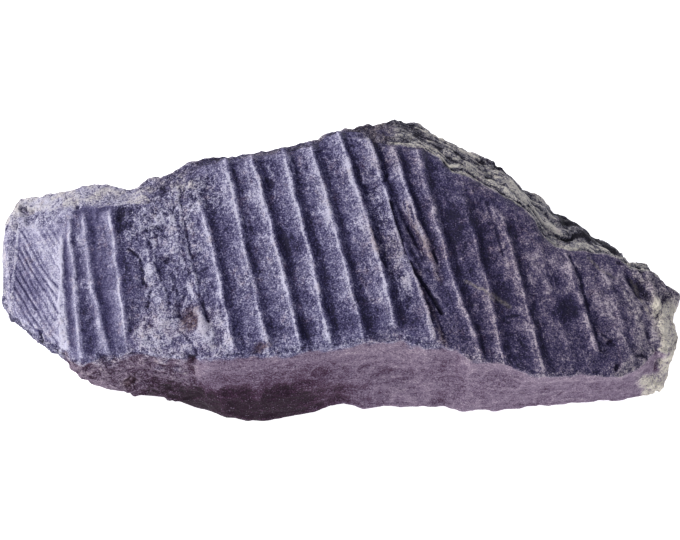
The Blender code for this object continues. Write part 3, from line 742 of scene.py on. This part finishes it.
def rib_relief(surface, phases):
    """Soft dents and streaks along the ribs, with painted highlight on the crests and painted shade in the
    troughs.
    """
    s = surface
    across = np.where(s.phase < 0.0, s.x, s.phase * RIB_SPACING)
    streaks = wander(across / 0.8, s.y / 5.0, 3.0)
    s.add(s.ribbed * (0.16 * s.coarse + 0.13 * s.lumps + 0.06 * s.grains + 0.07 * streaks))
    right = s.face * after(s.x, 20.0, 8.0)
    s.crumble(right, 0.14, 0.1, 0.1)
    s.tone(right * (0.12 * s.lumps + 0.1 * s.crumbs + 0.08 * s.grains))
    # The ribs break off in crumbs along the front edge.
    broken = s.face * before(s.ring, FACE_START + 5.0 + 4.0 * s.lumps, 3.0)
    s.crumble(broken, 0.3, 0.22, crumbly=0.7)
    s.tone(broken * (0.1 * s.grains - 0.03))

    tall = np.zeros((2, *s.x.shape))
    for row, at in enumerate(phases):
        if 0.0 <= at < len(GUIDES) - 1.0:
            tall[0, row] = crest_height(int(at), s.y[row])
            tall[1, row] = crest_height(int(at) + 1, s.y[row])
    tall = np.clip(tall / 1.1, 0.0, 1.0) ** 0.7
    on_rib = (s.phase >= 0.0) & (s.phase < AFTER_RIBS)
    share = np.where(on_rib, s.phase % 1.0, 0.4) + 0.02 * s.lumps
    # Painted shade darkens the trough right of each crest. The crest is lightened, partly as painted
    # highlight and partly as wear, most of all along its edge.
    trough_shade = smooth_step(share / 0.04) * before(share, 0.5, 0.42) + (share < 0.0)
    crest = after(share, 0.45, 0.5) * before(share, 1.02, 0.03)
    edge = between(share + 0.03 * s.coarse, 0.9, 1.02, 0.08)
    uneven = 1.0 + 0.45 * s.coarse + 0.3 * s.patches
    s.tone(s.ribbed * on_rib * uneven * (0.2 * crest * tall[1] - 0.12 * trough_shade * tall[0]))
    crest_highlight = 0.14 * edge * (0.2 + tall[1]) * (tall[1] > 0.05)
    # The painted highlight on the crests breaks off in gaps on the right part.
    highlight_gaps = np.clip(0.55 - 1.6 * s.patches + 0.6 * s.coarse, 0.0, 1.0)
    crest_highlight *= 1.0 - highlight_gaps * after(s.x, 14.0, 8.0)
    s.tone(s.ribbed * on_rib * crest_highlight * (1.0 + 0.9 * s.lumps + 0.6 * s.grains))
    s.tone(-0.1 * s.face * after(s.x, 10.0, 12.0) * before(s.x, 50.0, 16.0))
    # A broad painted highlight before each crest on the right part.
    wide = between(share, 0.72, 1.0, 0.2) * tall[1]
    s.tone(0.1 * s.face * on_rib * after(s.x, 18.0, 8.0) * wide)
    s.mark("crest", s.ribbed * on_rib * edge * tall[1])


def facet_relief(surface):
    """The left facet and its slanted striations, and the pale strip outside it, lightened with painted
    light.
    """
    s = surface
    facet = s.face * before(s.phase, 0.97, 0.1) * before(s.y, 11.0, 3.0)
    facet *= after(s.x, -69.9, 0.6)
    bent_x = s.x + 0.1 * s.lumps
    deep = np.zeros_like(s.x)
    for number, striation in enumerate(STRIATIONS):
        strength = 0.75 + 0.35 * wander(s.y / 5.0, 7.0 * number, 2.0)
        deep = np.maximum(deep, strength * near_line(bent_x, s.y, striation, 0.38))
    fine = wander((0.87 * s.x + 0.5 * s.y) / 0.42, s.y / 14.0, 31.0)
    s.add(facet * (0.12 * fine - 0.24 * deep))
    # The facet and the left end of the face are lightened with painted light, where they turn toward the
    # lamp.
    s.tone(facet * (0.1 - 0.34 * deep + 0.2 * fine))
    s.tone(0.16 * s.face * before(s.x, -51.0, 8.0))
    # The strip outside the facet, at the very end, is pale with a painted highlight as well as crust
    # colour.
    outside = s.left_cap * (s.z > 6.0) + s.face * before(s.x, -69.4, 0.6)
    outside = np.clip(outside, 0.0, 1.0)
    s.mark("pale", 0.6 * outside * (0.8 + 0.5 * s.lumps))
    s.mark("smooth", np.maximum(facet, s.face * between(s.phase, 0.9, 4.1, 0.5)))
    s.mark("crust", 0.6 * outside)
    top = s.face * before(s.phase, 2.2, 0.8) * after(s.y, 8.0, 3.0)
    s.crumble(top, 0.25, 0.0, 0.25, crumbly=0.7)
    second = s.face * between(s.phase, 0.9, 2.6, 0.3)
    s.tone(0.04 * second)
    rough = s.face * between(s.phase, 2.05, 2.75, 0.2)
    s.crumble(rough, 0.3, 0.0, crumbly=0.6)


def flake_relief(surface):
    """The part where the ribs have flaked off: a smooth swelling, steps and pale crumbs."""
    s = surface
    flaked = s.face * between(s.phase, *FLAKED, 0.5) * before(s.y, 16.0, 3.0)
    flaked = np.maximum(flaked, s.face * between(s.phase, 5.6, 7.6, 0.6) * between(s.y, 9.0, 18.0, 4.0))
    flaked = np.maximum(flaked, s.face * between(s.phase, 4.0, 6.9, 0.5) * before(s.y, -10.0, 4.0))
    swelling = s.face * spot(s.x, s.y, *SWELLING)
    rough = flaked * (1.0 - 0.9 * smooth_step(swelling / 0.4))
    steps = wander(s.x / 3.6 + 3.0, s.y / 5.0, 21.0) + 0.3 * s.lumps
    lower = before(s.y, -9.0, 5.0)
    tall = 0.3 - 0.16 * lower
    s.add(rough * (tall * smooth_step(steps / 0.08 + 0.5) + 0.16 * s.crumbs + 0.16 * s.fine_crumbs))
    s.add(0.7 * swelling)
    s.tone(rough * (0.1 * (steps > 0.0) - 0.02))
    upper = after(s.y, 3.0, 4.0)
    s.add(rough * 0.2 * (upper * s.crumbs + (upper + 0.7 * lower) * s.fine_crumbs + 0.6 * lower * s.lumps))
    s.mark("crumbly", rough * (0.35 + 0.5 * upper + 0.15 * lower))
    s.mark("reddish", 0.4 * rough * lower)
    worn = np.clip(0.5 + 1.1 * s.lumps + 0.8 * s.coarse, 0.0, 1.0)
    s.tone(rough * (0.05 + (0.03 * upper + 0.07 * lower) * (1.0 + worn)))


def gash_relief(surface):
    """The torn strips right of the middle, with rough fibres beside the gash."""
    s = surface
    lean = s.x + 0.42 * s.y
    strands = 1.0 - np.abs(wander(lean / 0.9, s.y / 5.0 / 0.9, 0.0)) * 2.0 - 0.45
    for reach, points in FIBRES:
        strip = s.face * near_line(s.x + 0.4 * s.lumps, s.y, points, reach)
        s.add(strip * (0.5 * strands + 0.3 * s.fine_crumbs))
        s.tone(strip * (0.55 * strands + 0.1))
        s.mark("brown", 0.7 * strip * smooth_step(strands * 3.0 + 0.4))
        s.mark("crumbly", 0.5 * strip)
    torn = s.face * between(s.x + 0.28 * s.y, *TORN, 1.6) * between(s.y, -12.0, 14.0, 4.0)
    s.crumble(torn, 0.3, 0.2, crumbly=0.6)
    s.tone(torn * (0.3 * s.crumbs + 0.1))


def band_relief(surface):
    """The crust along the back of the left part, and the laminated band right of the peak."""
    s = surface
    out = s.out
    crust = s.band * before(s.x, 8.0, 6.0) - s.over
    matrix = (s.band + s.back) * between(s.x, *MATRIX_BAND, 4.0) * (1.0 - s.over)
    s.mark("matrix", matrix)
    s.crumble(matrix, 0.3, 0.25)
    ragged = BAND_START - 4.0 - 5.0 * (s.lumps + s.patches)
    beside = s.face * after(s.ring, ragged, 2.0) * before(s.x, 12.0, 6.0)
    crust = np.maximum(crust, beside * (1.0 - runs_over(s.x)))
    crust = np.maximum(crust, (1.0 - s.back) * spot(s.x, s.y, *CRUST_PATCH))
    calmer = 1.0 - 0.45 * before(s.x, -38.0, 8.0)
    s.add(calmer * crust * (0.6 * s.crumbs + 0.35 * s.fine_crumbs + 0.45 * s.lumps))
    s.mark("crust", crust)
    s.mark("crumbly", 0.6 * crust)
    s.tone(crust * (0.4 * before(s.x, -34.0, 12.0) - 0.12 * after(s.x, -34.0, 6.0)))
    s.tone(-0.2 * calmer**3 * crust * smooth_step((s.coarse + 0.6 * s.lumps + 0.1) / 0.3))

    layered = (s.band + 0.8 * s.back * (1.0 - s.right_cap)) * after(s.x, 8.0 + 3.0 * s.coarse, 4.0)
    level = 9.0 * out + 0.9 * s.patches + 0.3 * s.coarse + np.maximum(s.ring - BACK_START, 0.0) / 6.0
    sheets = wander(level / 0.62, s.x / 8.0, s.y / 12.0)
    fine_sheets = wander(level / 0.25, s.x / 5.0, s.y / 9.0)
    stepped = smooth_step(sheets / 0.16 + 0.5)
    s.add(layered * (0.34 * stepped + 0.18 * fine_sheets + 0.3 * s.crumbs + 0.3 * s.fine_crumbs))
    s.mark("layered", np.clip(layered, 0.0, 1.0))
    s.tone(layered * (0.3 * (stepped - 0.5) + 0.55 * fine_sheets + 0.1 * s.fine_crumbs + 0.05 * s.crumbs))
    s.tone(layered * (0.1 - 0.16 * after(out, 0.4, 0.3)))
    s.tone(0.18 * layered * between(out, -0.1, 0.08, 0.06))
    # Painted light lifts the band where it faces away from the lamp.
    s.tone(0.26 * layered * between(s.x, *BAND_PAINTED_LIGHT, 3.0) * after(out, 0.3, 0.2))
    # A darkened ledge stands out behind the right part and thins out towards the right end.
    thin = 0.34 + 0.3 * after(s.x, 50.0, 10.0) + 0.06 * s.coarse
    edge = between(s.x, *DARK_LEDGE, 0.8) * after(out, thin, 0.08)
    ledge = np.clip(s.band + s.back * before(s.ring, BACK_START + 9.0, 4.0), 0.0, 1.0) * edge
    s.tone(ledge * (0.25 * sheets - 0.5))
    s.add(0.5 * ledge)
    return sheets


def end_relief(surface, sheets):
    """The rough tan end on the right, the broken left end, the back and the foot."""
    s = surface
    from_x = from_table(TAN_FROM, s.y) + 0.8 * s.coarse
    from_x += 2.6 * s.lumps * (1.0 - s.face) + 0.5 * s.grains
    tan_end = after(s.x, from_x, 1.2 + 2.0 * s.front) * (s.z > 0.5)
    slanted = wander((s.x * 0.6 + s.y * 0.35 + 0.8 * s.z) / 0.9, s.y / 6.0, 17.0)
    s.add(tan_end * (0.35 * s.crumbs + 0.35 * s.fine_crumbs + 0.3 * slanted))
    far_half = after(s.y, -8.0 - 1.5 * s.coarse, 4.0)
    s.tone(tan_end * (0.48 + 0.34 * slanted - 0.46 * far_half))
    s.mark("tan_end", tan_end * (1.0 - 0.75 * far_half))
    s.mark("crumbly", tan_end)
    grey = s.face * between(s.x - from_x, -5.0, 2.0, 3.0)
    s.mark("tan_end", 0.35 * grey * (1.0 - far_half))
    s.tone(0.08 * grey * (1.0 - far_half))
    layers = wander((s.x - from_x) / 1.6, s.y / 9.0, 23.0)
    s.add(0.12 * grey * layers)
    s.tone(0.12 * grey * layers)

    s.add(s.left_cap * (1.0 - s.face) * (0.4 * s.crumbs + 0.2 * s.fine_crumbs))
    s.add(s.back * (0.4 * s.crumbs + 0.3 * s.fine_crumbs + 0.2 * s.coarse + 0.12 * (sheets > 0.0)))
    # The broken sides show the shale's layers, which lie flat.
    aside = np.clip(s.back + s.left_cap * before(s.z, 9.0, 3.0), 0.0, 1.0) * (1.0 - tan_end)
    level = s.z / 1.5 + 0.5 * s.coarse + 0.2 * s.lumps
    beds = smooth_step(wander(s.x / 16.0, s.y / 16.0, level) / 0.1 + 0.5)
    s.add(0.45 * aside * beds)
    s.tone(aside * (0.14 * (beds - 0.5) - 0.06))
    s.mark("behind", s.back * (1.0 - tan_end))
    s.mark("crumbly", s.back)
    foot = between(s.ring, FRONT_START - 3.0, FRONT_START + 7.0, 5.0)
    s.crumble(foot, 0.4, 0.2)


def front_relief(surface):
    """The smooth front, with fine lengthwise streaks, and painted shadow where it turns under on the left.
    """
    s = surface
    up = s.up
    streaks = wander(s.x / 6.0, s.y / 2.0, s.z / 1.2)
    s.add(s.front * (0.04 * streaks + 0.05 * s.lumps + 0.05 * s.grains))
    rough = s.front * before(s.x, -26.0, 10.0)
    s.crumble(rough, 0.6, 0.35, 0.35, crumbly=1.0)
    worn = before(s.x, -14.0 - 6.0 * s.patches, 22.0)
    worn *= after(up, 0.6 - 0.3 * s.coarse - 0.2 * s.lumps, 0.45)
    worn = np.maximum(worn, before(s.x, -56.0, 3.0))
    under = (s.front + s.below * (s.ring < FACE_START + 6.0)) * (1.0 - worn)
    s.mark("front", np.clip(under, 0.0, 1.0) * s.below)
    s.mark("reddish", s.front * worn * smooth_step((s.lumps + s.coarse) / 0.3) * (s.x > -58.0))
    s.tone(s.front * (0.03 * streaks + 0.05 * s.patches - 0.03))
    # Painted shadow darkens the lower front on the left, where it turns under. The front is also darker
    # near its foot, and a painted highlight lightens it just below the lip.
    shaded = before(up, 0.68 + 0.07 * s.coarse + 0.05 * s.lumps, 0.32)
    below = before(s.x, 10.0, 22.0) * after(s.x, -49.0, 18.0)
    s.tone(-0.5 * s.front * below * shaded)
    s.tone(-0.14 * s.front * before(up, 0.25, 0.25))
    s.tone(-0.08 * s.front * between(s.x, -26.0, -2.0, 8.0) * after(up, 0.4, 0.3))
    s.tone(0.1 * s.front * between(up, 0.8, 1.1, 0.12) + 0.04 * s.front * after(s.x, -20.0, 40.0))


def single_marks(surface):
    """Single chips, ridges, grooves and pits with painted shade, seams, and clouds, some of them painted
    highlights.
    """
    s = surface
    upper = np.clip(s.face + 0.5 * s.band + s.front * after(s.z, 6.0, 3.0), 0.0, 1.0)
    ragged_x, ragged_y = s.x + 0.3 * s.grains + 0.15 * s.lumps, s.y + 0.3 * s.lumps
    pitted_x, pitted_y = s.x + 0.9 * s.lumps + 0.5 * s.grains, s.y + 0.9 * s.coarse + 0.6 * s.fine_crumbs
    for tall, edge, paleness, corners in PLATES:
        plate = upper * inside(ragged_x, ragged_y, corners, edge)
        s.add(plate * (tall + 0.1 * s.crumbs))
        s.mark("pale", plate * paleness)
    for tall, reach, paleness, points in RIDGES:
        ridge = upper * near_line(ragged_x, ragged_y, points, reach)
        s.add(ridge * tall * (1.0 + 0.5 * s.lumps))
        s.mark("pale", ridge * paleness)
    # Grooves are darkened with painted shade.
    for deep, reach, groove_shade, points in GROOVES:
        groove = upper * near_line(ragged_x, ragged_y, points, reach)
        s.add(-deep * groove)
        s.mark("dark", groove * groove_shade)
    # Pits are darkened with painted shade as deep as they are, less where they are brown inside.
    for *oval, depth, brown_inside in PITS:
        pit = upper * spot(pitted_x, pitted_y, *oval)
        s.add(-depth * pit)
        s.tone(-0.3 * pit * min(depth, 1.0) * (1.0 - 0.7 * brown_inside))
        s.mark("brown", pit * brown_inside)
    for reach, strength, points in SEAMS:
        s.mark("seam", s.face * strength * near_line(ragged_x, ragged_y, points, reach))
    upward = np.clip(s.face + s.band, 0.0, 1.0)
    # Some of these clouds are painted highlights on the ribs.
    for *oval, lightness in CLOUDS:
        cloud = spot(s.x + 1.2 * s.lumps, s.y + 1.2 * s.coarse, *oval)
        s.tone(1.2 * upward * lightness * cloud * (1.0 + 0.6 * s.grains + 0.5 * s.lumps))


def stone_relief(rows, phases):
    """Height of the small relief at each point, along its normal, and what marks the stone."""
    surface = Surface(rows, phases)
    rib_relief(surface, phases)
    facet_relief(surface)
    flake_relief(surface)
    gash_relief(surface)
    sheets = band_relief(surface)
    end_relief(surface, sheets)
    front_relief(surface)
    single_marks(surface)
    # Nothing moves at the two poles or on the underside that the slab rests on.
    to_pole = np.minimum(surface.line, len(rows) - 1.0 - surface.line)
    still = after(to_pole, 0.0, 6.0) * after(surface.z, 0.15, 1.2)
    return surface.height * still, surface.marks


def shape_slab():
    """The slab's points in millimetres in the solid's frame, and its marks."""
    rows, phases = rough_stone()
    height, marks = stone_relief(rows, phases)
    rows = rows + unit(blur(outward(rows), 2)) * height[..., None]
    rows[..., 2] = np.where(rows[..., 2] < FLAT_BELOW, 0.0, rows[..., 2])
    normal = outward(rows)
    # How far each point lies in a fine and in a broad hollow. The stone's colour darkens the hollows with
    # painted shade.
    for name, times in (("fine_hollow", 2), ("hollow", 10)):
        marks[name] = ((blur(rows, times) - rows) * normal).sum(axis=2)
    rows[..., 0] -= MIDDLE[0]
    rows[..., 1] -= MIDDLE[1]
    return rows, marks


def slab_mesh(rows, marks):
    """One closed mesh over the rows, whose first and last rows are single points."""
    body = rows[1:-1].reshape(-1, 3)
    points = np.vstack((body, rows[0].mean(axis=0), rows[-1].mean(axis=0))) * MM
    count, lines = len(rows) - 2, RING_POINTS
    grid = np.arange(count * lines).reshape(count, lines)
    turned = np.roll(grid, -1, axis=1)
    quads = np.stack((grid[:-1], grid[1:], turned[1:], turned[:-1]), axis=-1).reshape(-1, 4)
    start = np.stack((np.full(lines, len(body)), grid[0], turned[0]), axis=-1)
    end = np.stack((np.full(lines, len(body) + 1), turned[-1], grid[-1]), axis=-1)
    mesh = bpy.data.meshes.new("fossil_bark_slab")
    mesh.from_pydata(points.tolist(), [], [*quads.tolist(), *start.tolist(), *end.tolist()])
    mesh.polygons.foreach_set("use_smooth", [True] * len(mesh.polygons))
    for name, field in marks.items():
        values = np.concatenate((field[1:-1].reshape(-1), [field[0].mean(), field[-1].mean()]))
        attribute = mesh.attributes.new(name, "FLOAT", "POINT")
        attribute.data.foreach_set("value", values.astype(np.float32))
    mesh.update()
    return mesh


def srgb(red, green, blue):
    """A colour for a node socket from its screen values."""
    return (*(((value / 255.0 + 0.055) / 1.055) ** 2.4 for value in (red, green, blue)), 1.0)


class Shade:
    """Builds the nodes of one material."""

    def __init__(self, name):
        self.material = bpy.data.materials.new(name)
        self.material.use_nodes = True
        self.nodes = self.material.node_tree.nodes
        self.links = self.material.node_tree.links
        self.shader = self.nodes["Principled BSDF"]
        self.place = self.node("TexCoord", "Object", {})

    def put(self, value, socket):
        """Links an output to the socket, or sets the socket's own value."""
        if isinstance(value, bpy.types.NodeSocket):
            self.links.new(value, socket)
        else:
            socket.default_value = value

    def node(self, kind, output, inputs, **settings):
        """This output of a new node with these inputs and settings."""
        node = self.nodes.new("ShaderNode" + kind)
        for name, setting in settings.items():
            setattr(node, name, setting)
        for name, value in inputs.items():
            self.put(value, node.inputs[name])
        return node.outputs[output]

    def mark(self, name):
        return self.node("Attribute", "Fac", {}, attribute_name=name)

    def noise(self, size, detail=3.0, roughness=0.55, stretch=(1.0, 1.0, 1.0), turn=0.0, warp=0.0):
        """Noise whose lumps are about this many millimetres wide."""
        place = self.place
        if stretch != (1.0, 1.0, 1.0) or turn:
            spin = (0.0, 0.0, math.radians(turn))
            inputs = {"Vector": place, "Scale": stretch, "Rotation": spin}
            place = self.node("Mapping", "Vector", inputs, vector_type="TEXTURE")
        inputs = {"Vector": place, "Scale": 1.0 / (size * MM)}
        inputs.update({"Detail": detail, "Roughness": roughness, "Distortion": warp})
        return self.node("TexNoise", "Fac", inputs)

    def span(self, value, low, high, to_low=0.0, to_high=1.0):
        """Takes the value softly from to_low, up to the low limit, to to_high from the high one on."""
        inputs = {"Value": value, "From Min": low, "From Max": high, "To Min": to_low, "To Max": to_high}
        return self.node("MapRange", "Result", inputs, interpolation_type="SMOOTHSTEP")

    def maths(self, operation, *values):
        return self.node("Math", "Value", dict(enumerate(values)), operation=operation)

    def times(self, first, second):
        return self.maths("MULTIPLY", first, second)

    def plus(self, first, second, amount=1.0, middle=0.0):
        """first + (second - middle) * amount."""
        total = self.maths("MULTIPLY_ADD", second, amount, first)
        return self.maths("SUBTRACT", total, middle * amount) if middle else total

    def toward(self, mark, full):
        """1 where the mark is 0, and this value where it is 1."""
        return self.span(mark, 0.0, 1.0, 1.0, full)

    def lines(self, noise, width, strength):
        """This strong along the thin lines where the noise is halfway, and 0 beside them."""
        off = self.maths("ABSOLUTE", self.maths("SUBTRACT", noise, 0.5))
        return self.span(off, 0.0, width, strength, 0.0)

    def patchy(self, name, noise, *limits):
        """A mark, broken up by noise that is spread from its low to its high limit."""
        return self.times(self.mark(name), self.span(noise, *limits))

    def ramp(self, value, colours):
        """The colours spread evenly over the values from 0 to 1."""
        node = self.nodes.new("ShaderNodeValToRGB")
        points = node.color_ramp.elements
        for _ in colours[2:]:
            points.new(0.5)
        for number, colour in enumerate(colours):
            points[number].position = number / (len(colours) - 1)
            points[number].color = srgb(*colour)
        self.put(value, node.inputs["Fac"])
        return node.outputs["Color"]

    def mix(self, share, first, second):
        inputs = {"Factor": share, "A": first, "B": second}
        return self.node("Mix", "Result", inputs, data_type="RGBA")

    def bump(self, height):
        """Relief whose height is in millimetres."""
        return self.node("Bump", "Normal", {"Strength": 1.0, "Distance": MM, "Height": height})


# Colours of each kind of stone, from its darkest to its palest, and of seams, mica and pores.
COOL = ((26, 22, 50), (54, 49, 88), (93, 89, 123), (144, 141, 168), (197, 195, 213))
INDIGO = ((24, 19, 46), (46, 39, 76), (82, 74, 102), (124, 113, 132), (182, 171, 180))
PINKISH = ((30, 4, 26), (68, 40, 64), (112, 96, 117), (148, 131, 145), (192, 178, 182))
TAN = ((38, 31, 42), (78, 71, 86), (127, 119, 132), (177, 168, 165), (224, 217, 198))
MATRIX = ((24, 20, 32), (58, 52, 66), (96, 88, 98), (140, 132, 132), (200, 194, 184))
LAMINATED = ((24, 22, 32), (58, 56, 68), (112, 110, 122), (166, 162, 158), (212, 207, 194))
BROWN = ((40, 22, 30), (80, 57, 64), (140, 118, 120))
SEAM = srgb(176, 166, 150)
MICA = srgb(190, 186, 206)
PORE = srgb(20, 18, 32)


class Shale(Shade):
    """The noise of each size in the stone, and where the stone is calm or busy."""

    def __init__(self, name):
        super().__init__(name)
        self.fine = self.noise(0.3, 2.0, 0.6)
        self.grain = self.noise(0.62, 2.0, 0.6)
        self.clots = self.noise(1.5, 3.0, 0.62)
        self.lumps = self.noise(3.6, 3.0, 0.6)
        self.patches = self.noise(9.0, 3.0, 0.55, warp=0.5)
        self.streaks = self.noise(0.8, 3.0, 0.6, stretch=(1.0, 5.0, 1.0), turn=14.0)
        self.crumbly, self.front, self.smooth = map(self.mark, ("crumbly", "front", "smooth"))
        side = self.node("SeparateXYZ", "X", {"Vector": self.place})
        # Metres to the right, with a ragged limit between the two colours of shale.
        self.right = self.plus(side, self.patches, 0.06, middle=0.5)
        self.calm = self.toward(self.plus(self.front, self.crumbly, -1.0), 0.17)
        busy = self.times(self.toward(self.crumbly, 1.4), self.toward(self.front, 0.62))
        self.busy = self.times(busy, self.toward(self.smooth, 0.6))

    def creases(self):
        """Thin dark creases, most of them where the stone is crumbly."""
        wide = self.lines(self.noise(2.0, 2.0, 0.6, warp=0.6), 0.03, 0.13)
        finer = self.lines(self.noise(0.9, 1.0, 0.5, warp=0.5), 0.04, 1.0)
        worn = self.span(self.crumbly, 0.0, 1.0, 0.45, 1.1)
        worn = self.plus(worn, self.span(self.patches, 0.5, 0.62), 0.4)
        return self.times(self.plus(wide, finer, 0.1), self.times(worn, self.calm))


def stone_tone(stone, creases):
    """How light the stone is: the marks, painted shade in the hollows, bulges partly worn and partly
    painted light, and noise of every size.
    """
    mottle = -1.075
    sizes = ((stone.patches, 0.45), (stone.lumps, 0.55), (stone.clots, 0.6), (stone.streaks, 0.55))
    for noise_size, amount in sizes:
        mottle = stone.plus(mottle, noise_size, amount)
    mottle = stone.times(mottle, stone.toward(stone.smooth, 0.6))
    mottle = stone.times(mottle, stone.span(stone.right, 0.005, 0.035, 1.0, 0.65))
    wisps = stone.noise(2.2, 2.0, 0.55, stretch=(2.6, 1.0, 1.0), turn=-24.0, warp=0.8)
    wisps = stone.times(stone.lines(wisps, 0.03, 0.14), stone.span(stone.right, 0.005, 0.035))
    grains = stone.plus(stone.plus(-1.33, stone.grain, 0.9), stone.fine, 1.76)
    # Painted shade darkens the hollows, fine and broad, and the grooves. Bulges are lighter, partly as
    # wear and partly as painted light.
    hollow = stone.times(stone.mark("hollow"), stone.toward(stone.front, 0.5))
    parts = (
        (stone.mark("tone"), 1.0),
        (stone.times(mottle, stone.calm), 1.0),
        (creases, -1.0),
        (stone.times(wisps, stone.times(stone.calm, stone.span(stone.clots, 0.4, 0.6))), 1.0),
        (stone.times(grains, stone.busy), 1.0),
        (stone.mark("pale"), 0.26),
        (stone.span(stone.mark("fine_hollow"), -0.08, 0.08, 0.1, -0.1), 1.0),
        (stone.span(hollow, 0.02, 0.3, 0.0, 0.18), -1.0),
        (stone.span(hollow, -0.02, -0.3, 0.0, 0.05), 1.0),
        (stone.mark("dark"), -0.42),
    )
    tone = 0.5
    for part, amount in parts:
        tone = stone.plus(tone, part, amount)
    return tone


def stone_colour(stone, tone):
    """Cool slate on the left, indigo on the right, and the other kinds of stone over them."""
    lengthwise = stone.noise(0.5, 3.0, 0.65, stretch=(7.0, 2.0, 1.0))
    sheets = stone.noise(0.55, 3.0, 0.65, stretch=(9.0, 1.0, 1.0), turn=-22.0)
    tan, pink = stone.ramp(tone, TAN), stone.ramp(tone, PINKISH)
    warm = stone.times(stone.span(stone.clots, 0.5, 0.72), stone.span(stone.patches, 0.42, 0.6, 0.1, 0.5))
    fleck = stone.times(stone.span(stone.fine, 0.62, 0.72), stone.span(stone.clots, 0.4, 0.6, 0.1, 0.55))
    kinds = (
        (stone.front, stone.ramp(stone.plus(tone, lengthwise, 0.38, middle=0.5), PINKISH)),
        (stone.patchy("crust", stone.lumps, 0.4, 0.65, 0.05, 0.5), tan),
        (stone.mark("tan_end"), tan),
        (stone.patchy("matrix", stone.clots, 0.35, 0.6, 0.5, 1.0), stone.ramp(tone, MATRIX)),
        (stone.times(stone.mark("behind"), 0.7), tan),
        (stone.mark("layered"), stone.ramp(stone.plus(tone, sheets, 1.3, middle=0.5), LAMINATED)),
        (warm, pink),
        (stone.patchy("brown", stone.grain, 0.35, 0.6, 0.35, 0.9), stone.ramp(tone, BROWN)),
        (stone.patchy("reddish", stone.lumps, 0.4, 0.6, 0.2, 0.8), pink),
        (stone.patchy("seam", stone.grain, 0.4, 0.6, 0.3, 1.0), SEAM),
        (stone.times(fleck, 0.6), MICA),
        (stone.times(stone.span(stone.noise(0.45, 1.0), 0.34, 0.26), 0.6), PORE),
    )
    to_right = stone.span(stone.right, -0.005, 0.04)
    colour = stone.mix(to_right, stone.ramp(tone, COOL), stone.ramp(tone, INDIGO))
    for share, kind in kinds:
        colour = stone.mix(share, colour, kind)
    return colour


def shale_material():
    stone = Shale("dark_shale_fine")
    inputs = stone.shader.inputs
    creases = stone.creases()
    stone.put(stone_colour(stone, stone_tone(stone, creases)), inputs["Base Color"])

    roughness = stone.plus(stone.span(stone.grain, 0.3, 0.7, 0.58, 0.8), stone.mark("crest"), -0.14)
    stone.put(stone.plus(roughness, stone.front, 0.2), inputs["Roughness"])
    inputs["Specular IOR Level"].default_value = 0.28

    small = stone.times(stone.plus(stone.times(stone.grain, 0.26), stone.fine, 0.15), stone.busy)
    height = stone.times(stone.lumps, 0.5)
    for part, amount in ((stone.clots, 0.4), (small, 1.0), (stone.streaks, 0.12), (creases, -0.9)):
        height = stone.plus(height, part, amount)
    stone.put(stone.bump(height), inputs["Normal"])
    return stone.material


# The floor reaches this many metres out, and the camera stands this many metres off.
FLOOR_REACH = 1.5
CAMERA_DISTANCE = 0.5
CAMERA_RISE = math.radians(70.0)
CAMERA_AIM_HEIGHT = 13.0
LENS_LENGTH = 123.8
PICTURE_WIDTH = 680.0


def stand(name, data):
    """A new object in the scene with this data."""
    thing = bpy.data.objects.new(name, data)
    bpy.context.scene.collection.objects.link(thing)
    return thing


def floor():
    material = bpy.data.materials.new("pale_floor")
    material.use_nodes = True
    shader = material.node_tree.nodes["Principled BSDF"]
    shader.inputs["Base Color"].default_value = (0.95, 0.95, 0.955, 1.0)
    shader.inputs["Roughness"].default_value = 0.9
    shader.inputs["Emission Color"].default_value = (1.0, 1.0, 1.0, 1.0)
    shader.inputs["Emission Strength"].default_value = 0.85
    mesh = bpy.data.meshes.new("floor")
    corners = [(x * FLOOR_REACH, y * FLOOR_REACH, 0.0) for x, y in ((-1, -1), (1, -1), (1, 1), (-1, 1))]
    mesh.from_pydata(corners, [], [(0, 1, 2, 3)])
    mesh.materials.append(material)
    stand("floor", mesh)


def area_light(name, place, target, size, power, colour=(1.0, 1.0, 1.0)):
    light = bpy.data.lights.new(name, "AREA")
    light.shape = "DISK"
    light.size = size
    light.energy = power
    light.color = colour
    lamp = stand(name, light)
    lamp.location = place
    lamp.rotation_euler = (Vector(target) - Vector(place)).to_track_quat("-Z", "Y").to_euler()


def studio():
    bpy.context.scene.view_settings.view_transform = "Standard"
    world = bpy.data.worlds.new("studio")
    world.use_nodes = True
    background = world.node_tree.nodes["Background"]
    background.inputs["Color"].default_value = (0.78, 0.79, 1.0, 1.0)
    background.inputs["Strength"].default_value = 0.4
    bpy.context.scene.world = world
    warm = (1.0, 0.98, 0.95)
    area_light("key", (-1.1, 0.38, 0.98), (0.0, 0.0, 0.015), size=0.4, power=20.0, colour=warm)
    area_light("fill", (-0.1, -0.7, 0.4), (0.0, 0.0, 0.01), size=0.5, power=2.0)


def camera():
    lens = bpy.data.cameras.new("camera")
    lens.lens = LENS_LENGTH
    lens.sensor_width = 36.0
    lens.sensor_fit = "HORIZONTAL"
    lens.shift_x = -1.0 / PICTURE_WIDTH
    lens.shift_y = 1.0 / PICTURE_WIDTH
    lens.clip_start = 0.01
    lens.clip_end = 10.0
    target = Vector((-MIDDLE[0], -MIDDLE[1], CAMERA_AIM_HEIGHT)) * MM
    way = Vector((0.0, -math.cos(CAMERA_RISE), math.sin(CAMERA_RISE)))
    view = stand("camera", lens)
    view.location = target + way * CAMERA_DISTANCE
    view.rotation_euler = (-way).to_track_quat("-Z", "Y").to_euler()
    bpy.context.scene.camera = view


def dress_slab():
    rows, marks = shape_slab()
    mesh = slab_mesh(rows, marks)
    mesh.materials.append(shale_material())
    slab = stand("fossil_bark_slab", mesh)
    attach(slab, "root")
    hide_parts("bark_slab")


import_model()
dress_slab()
floor()
studio()
camera()
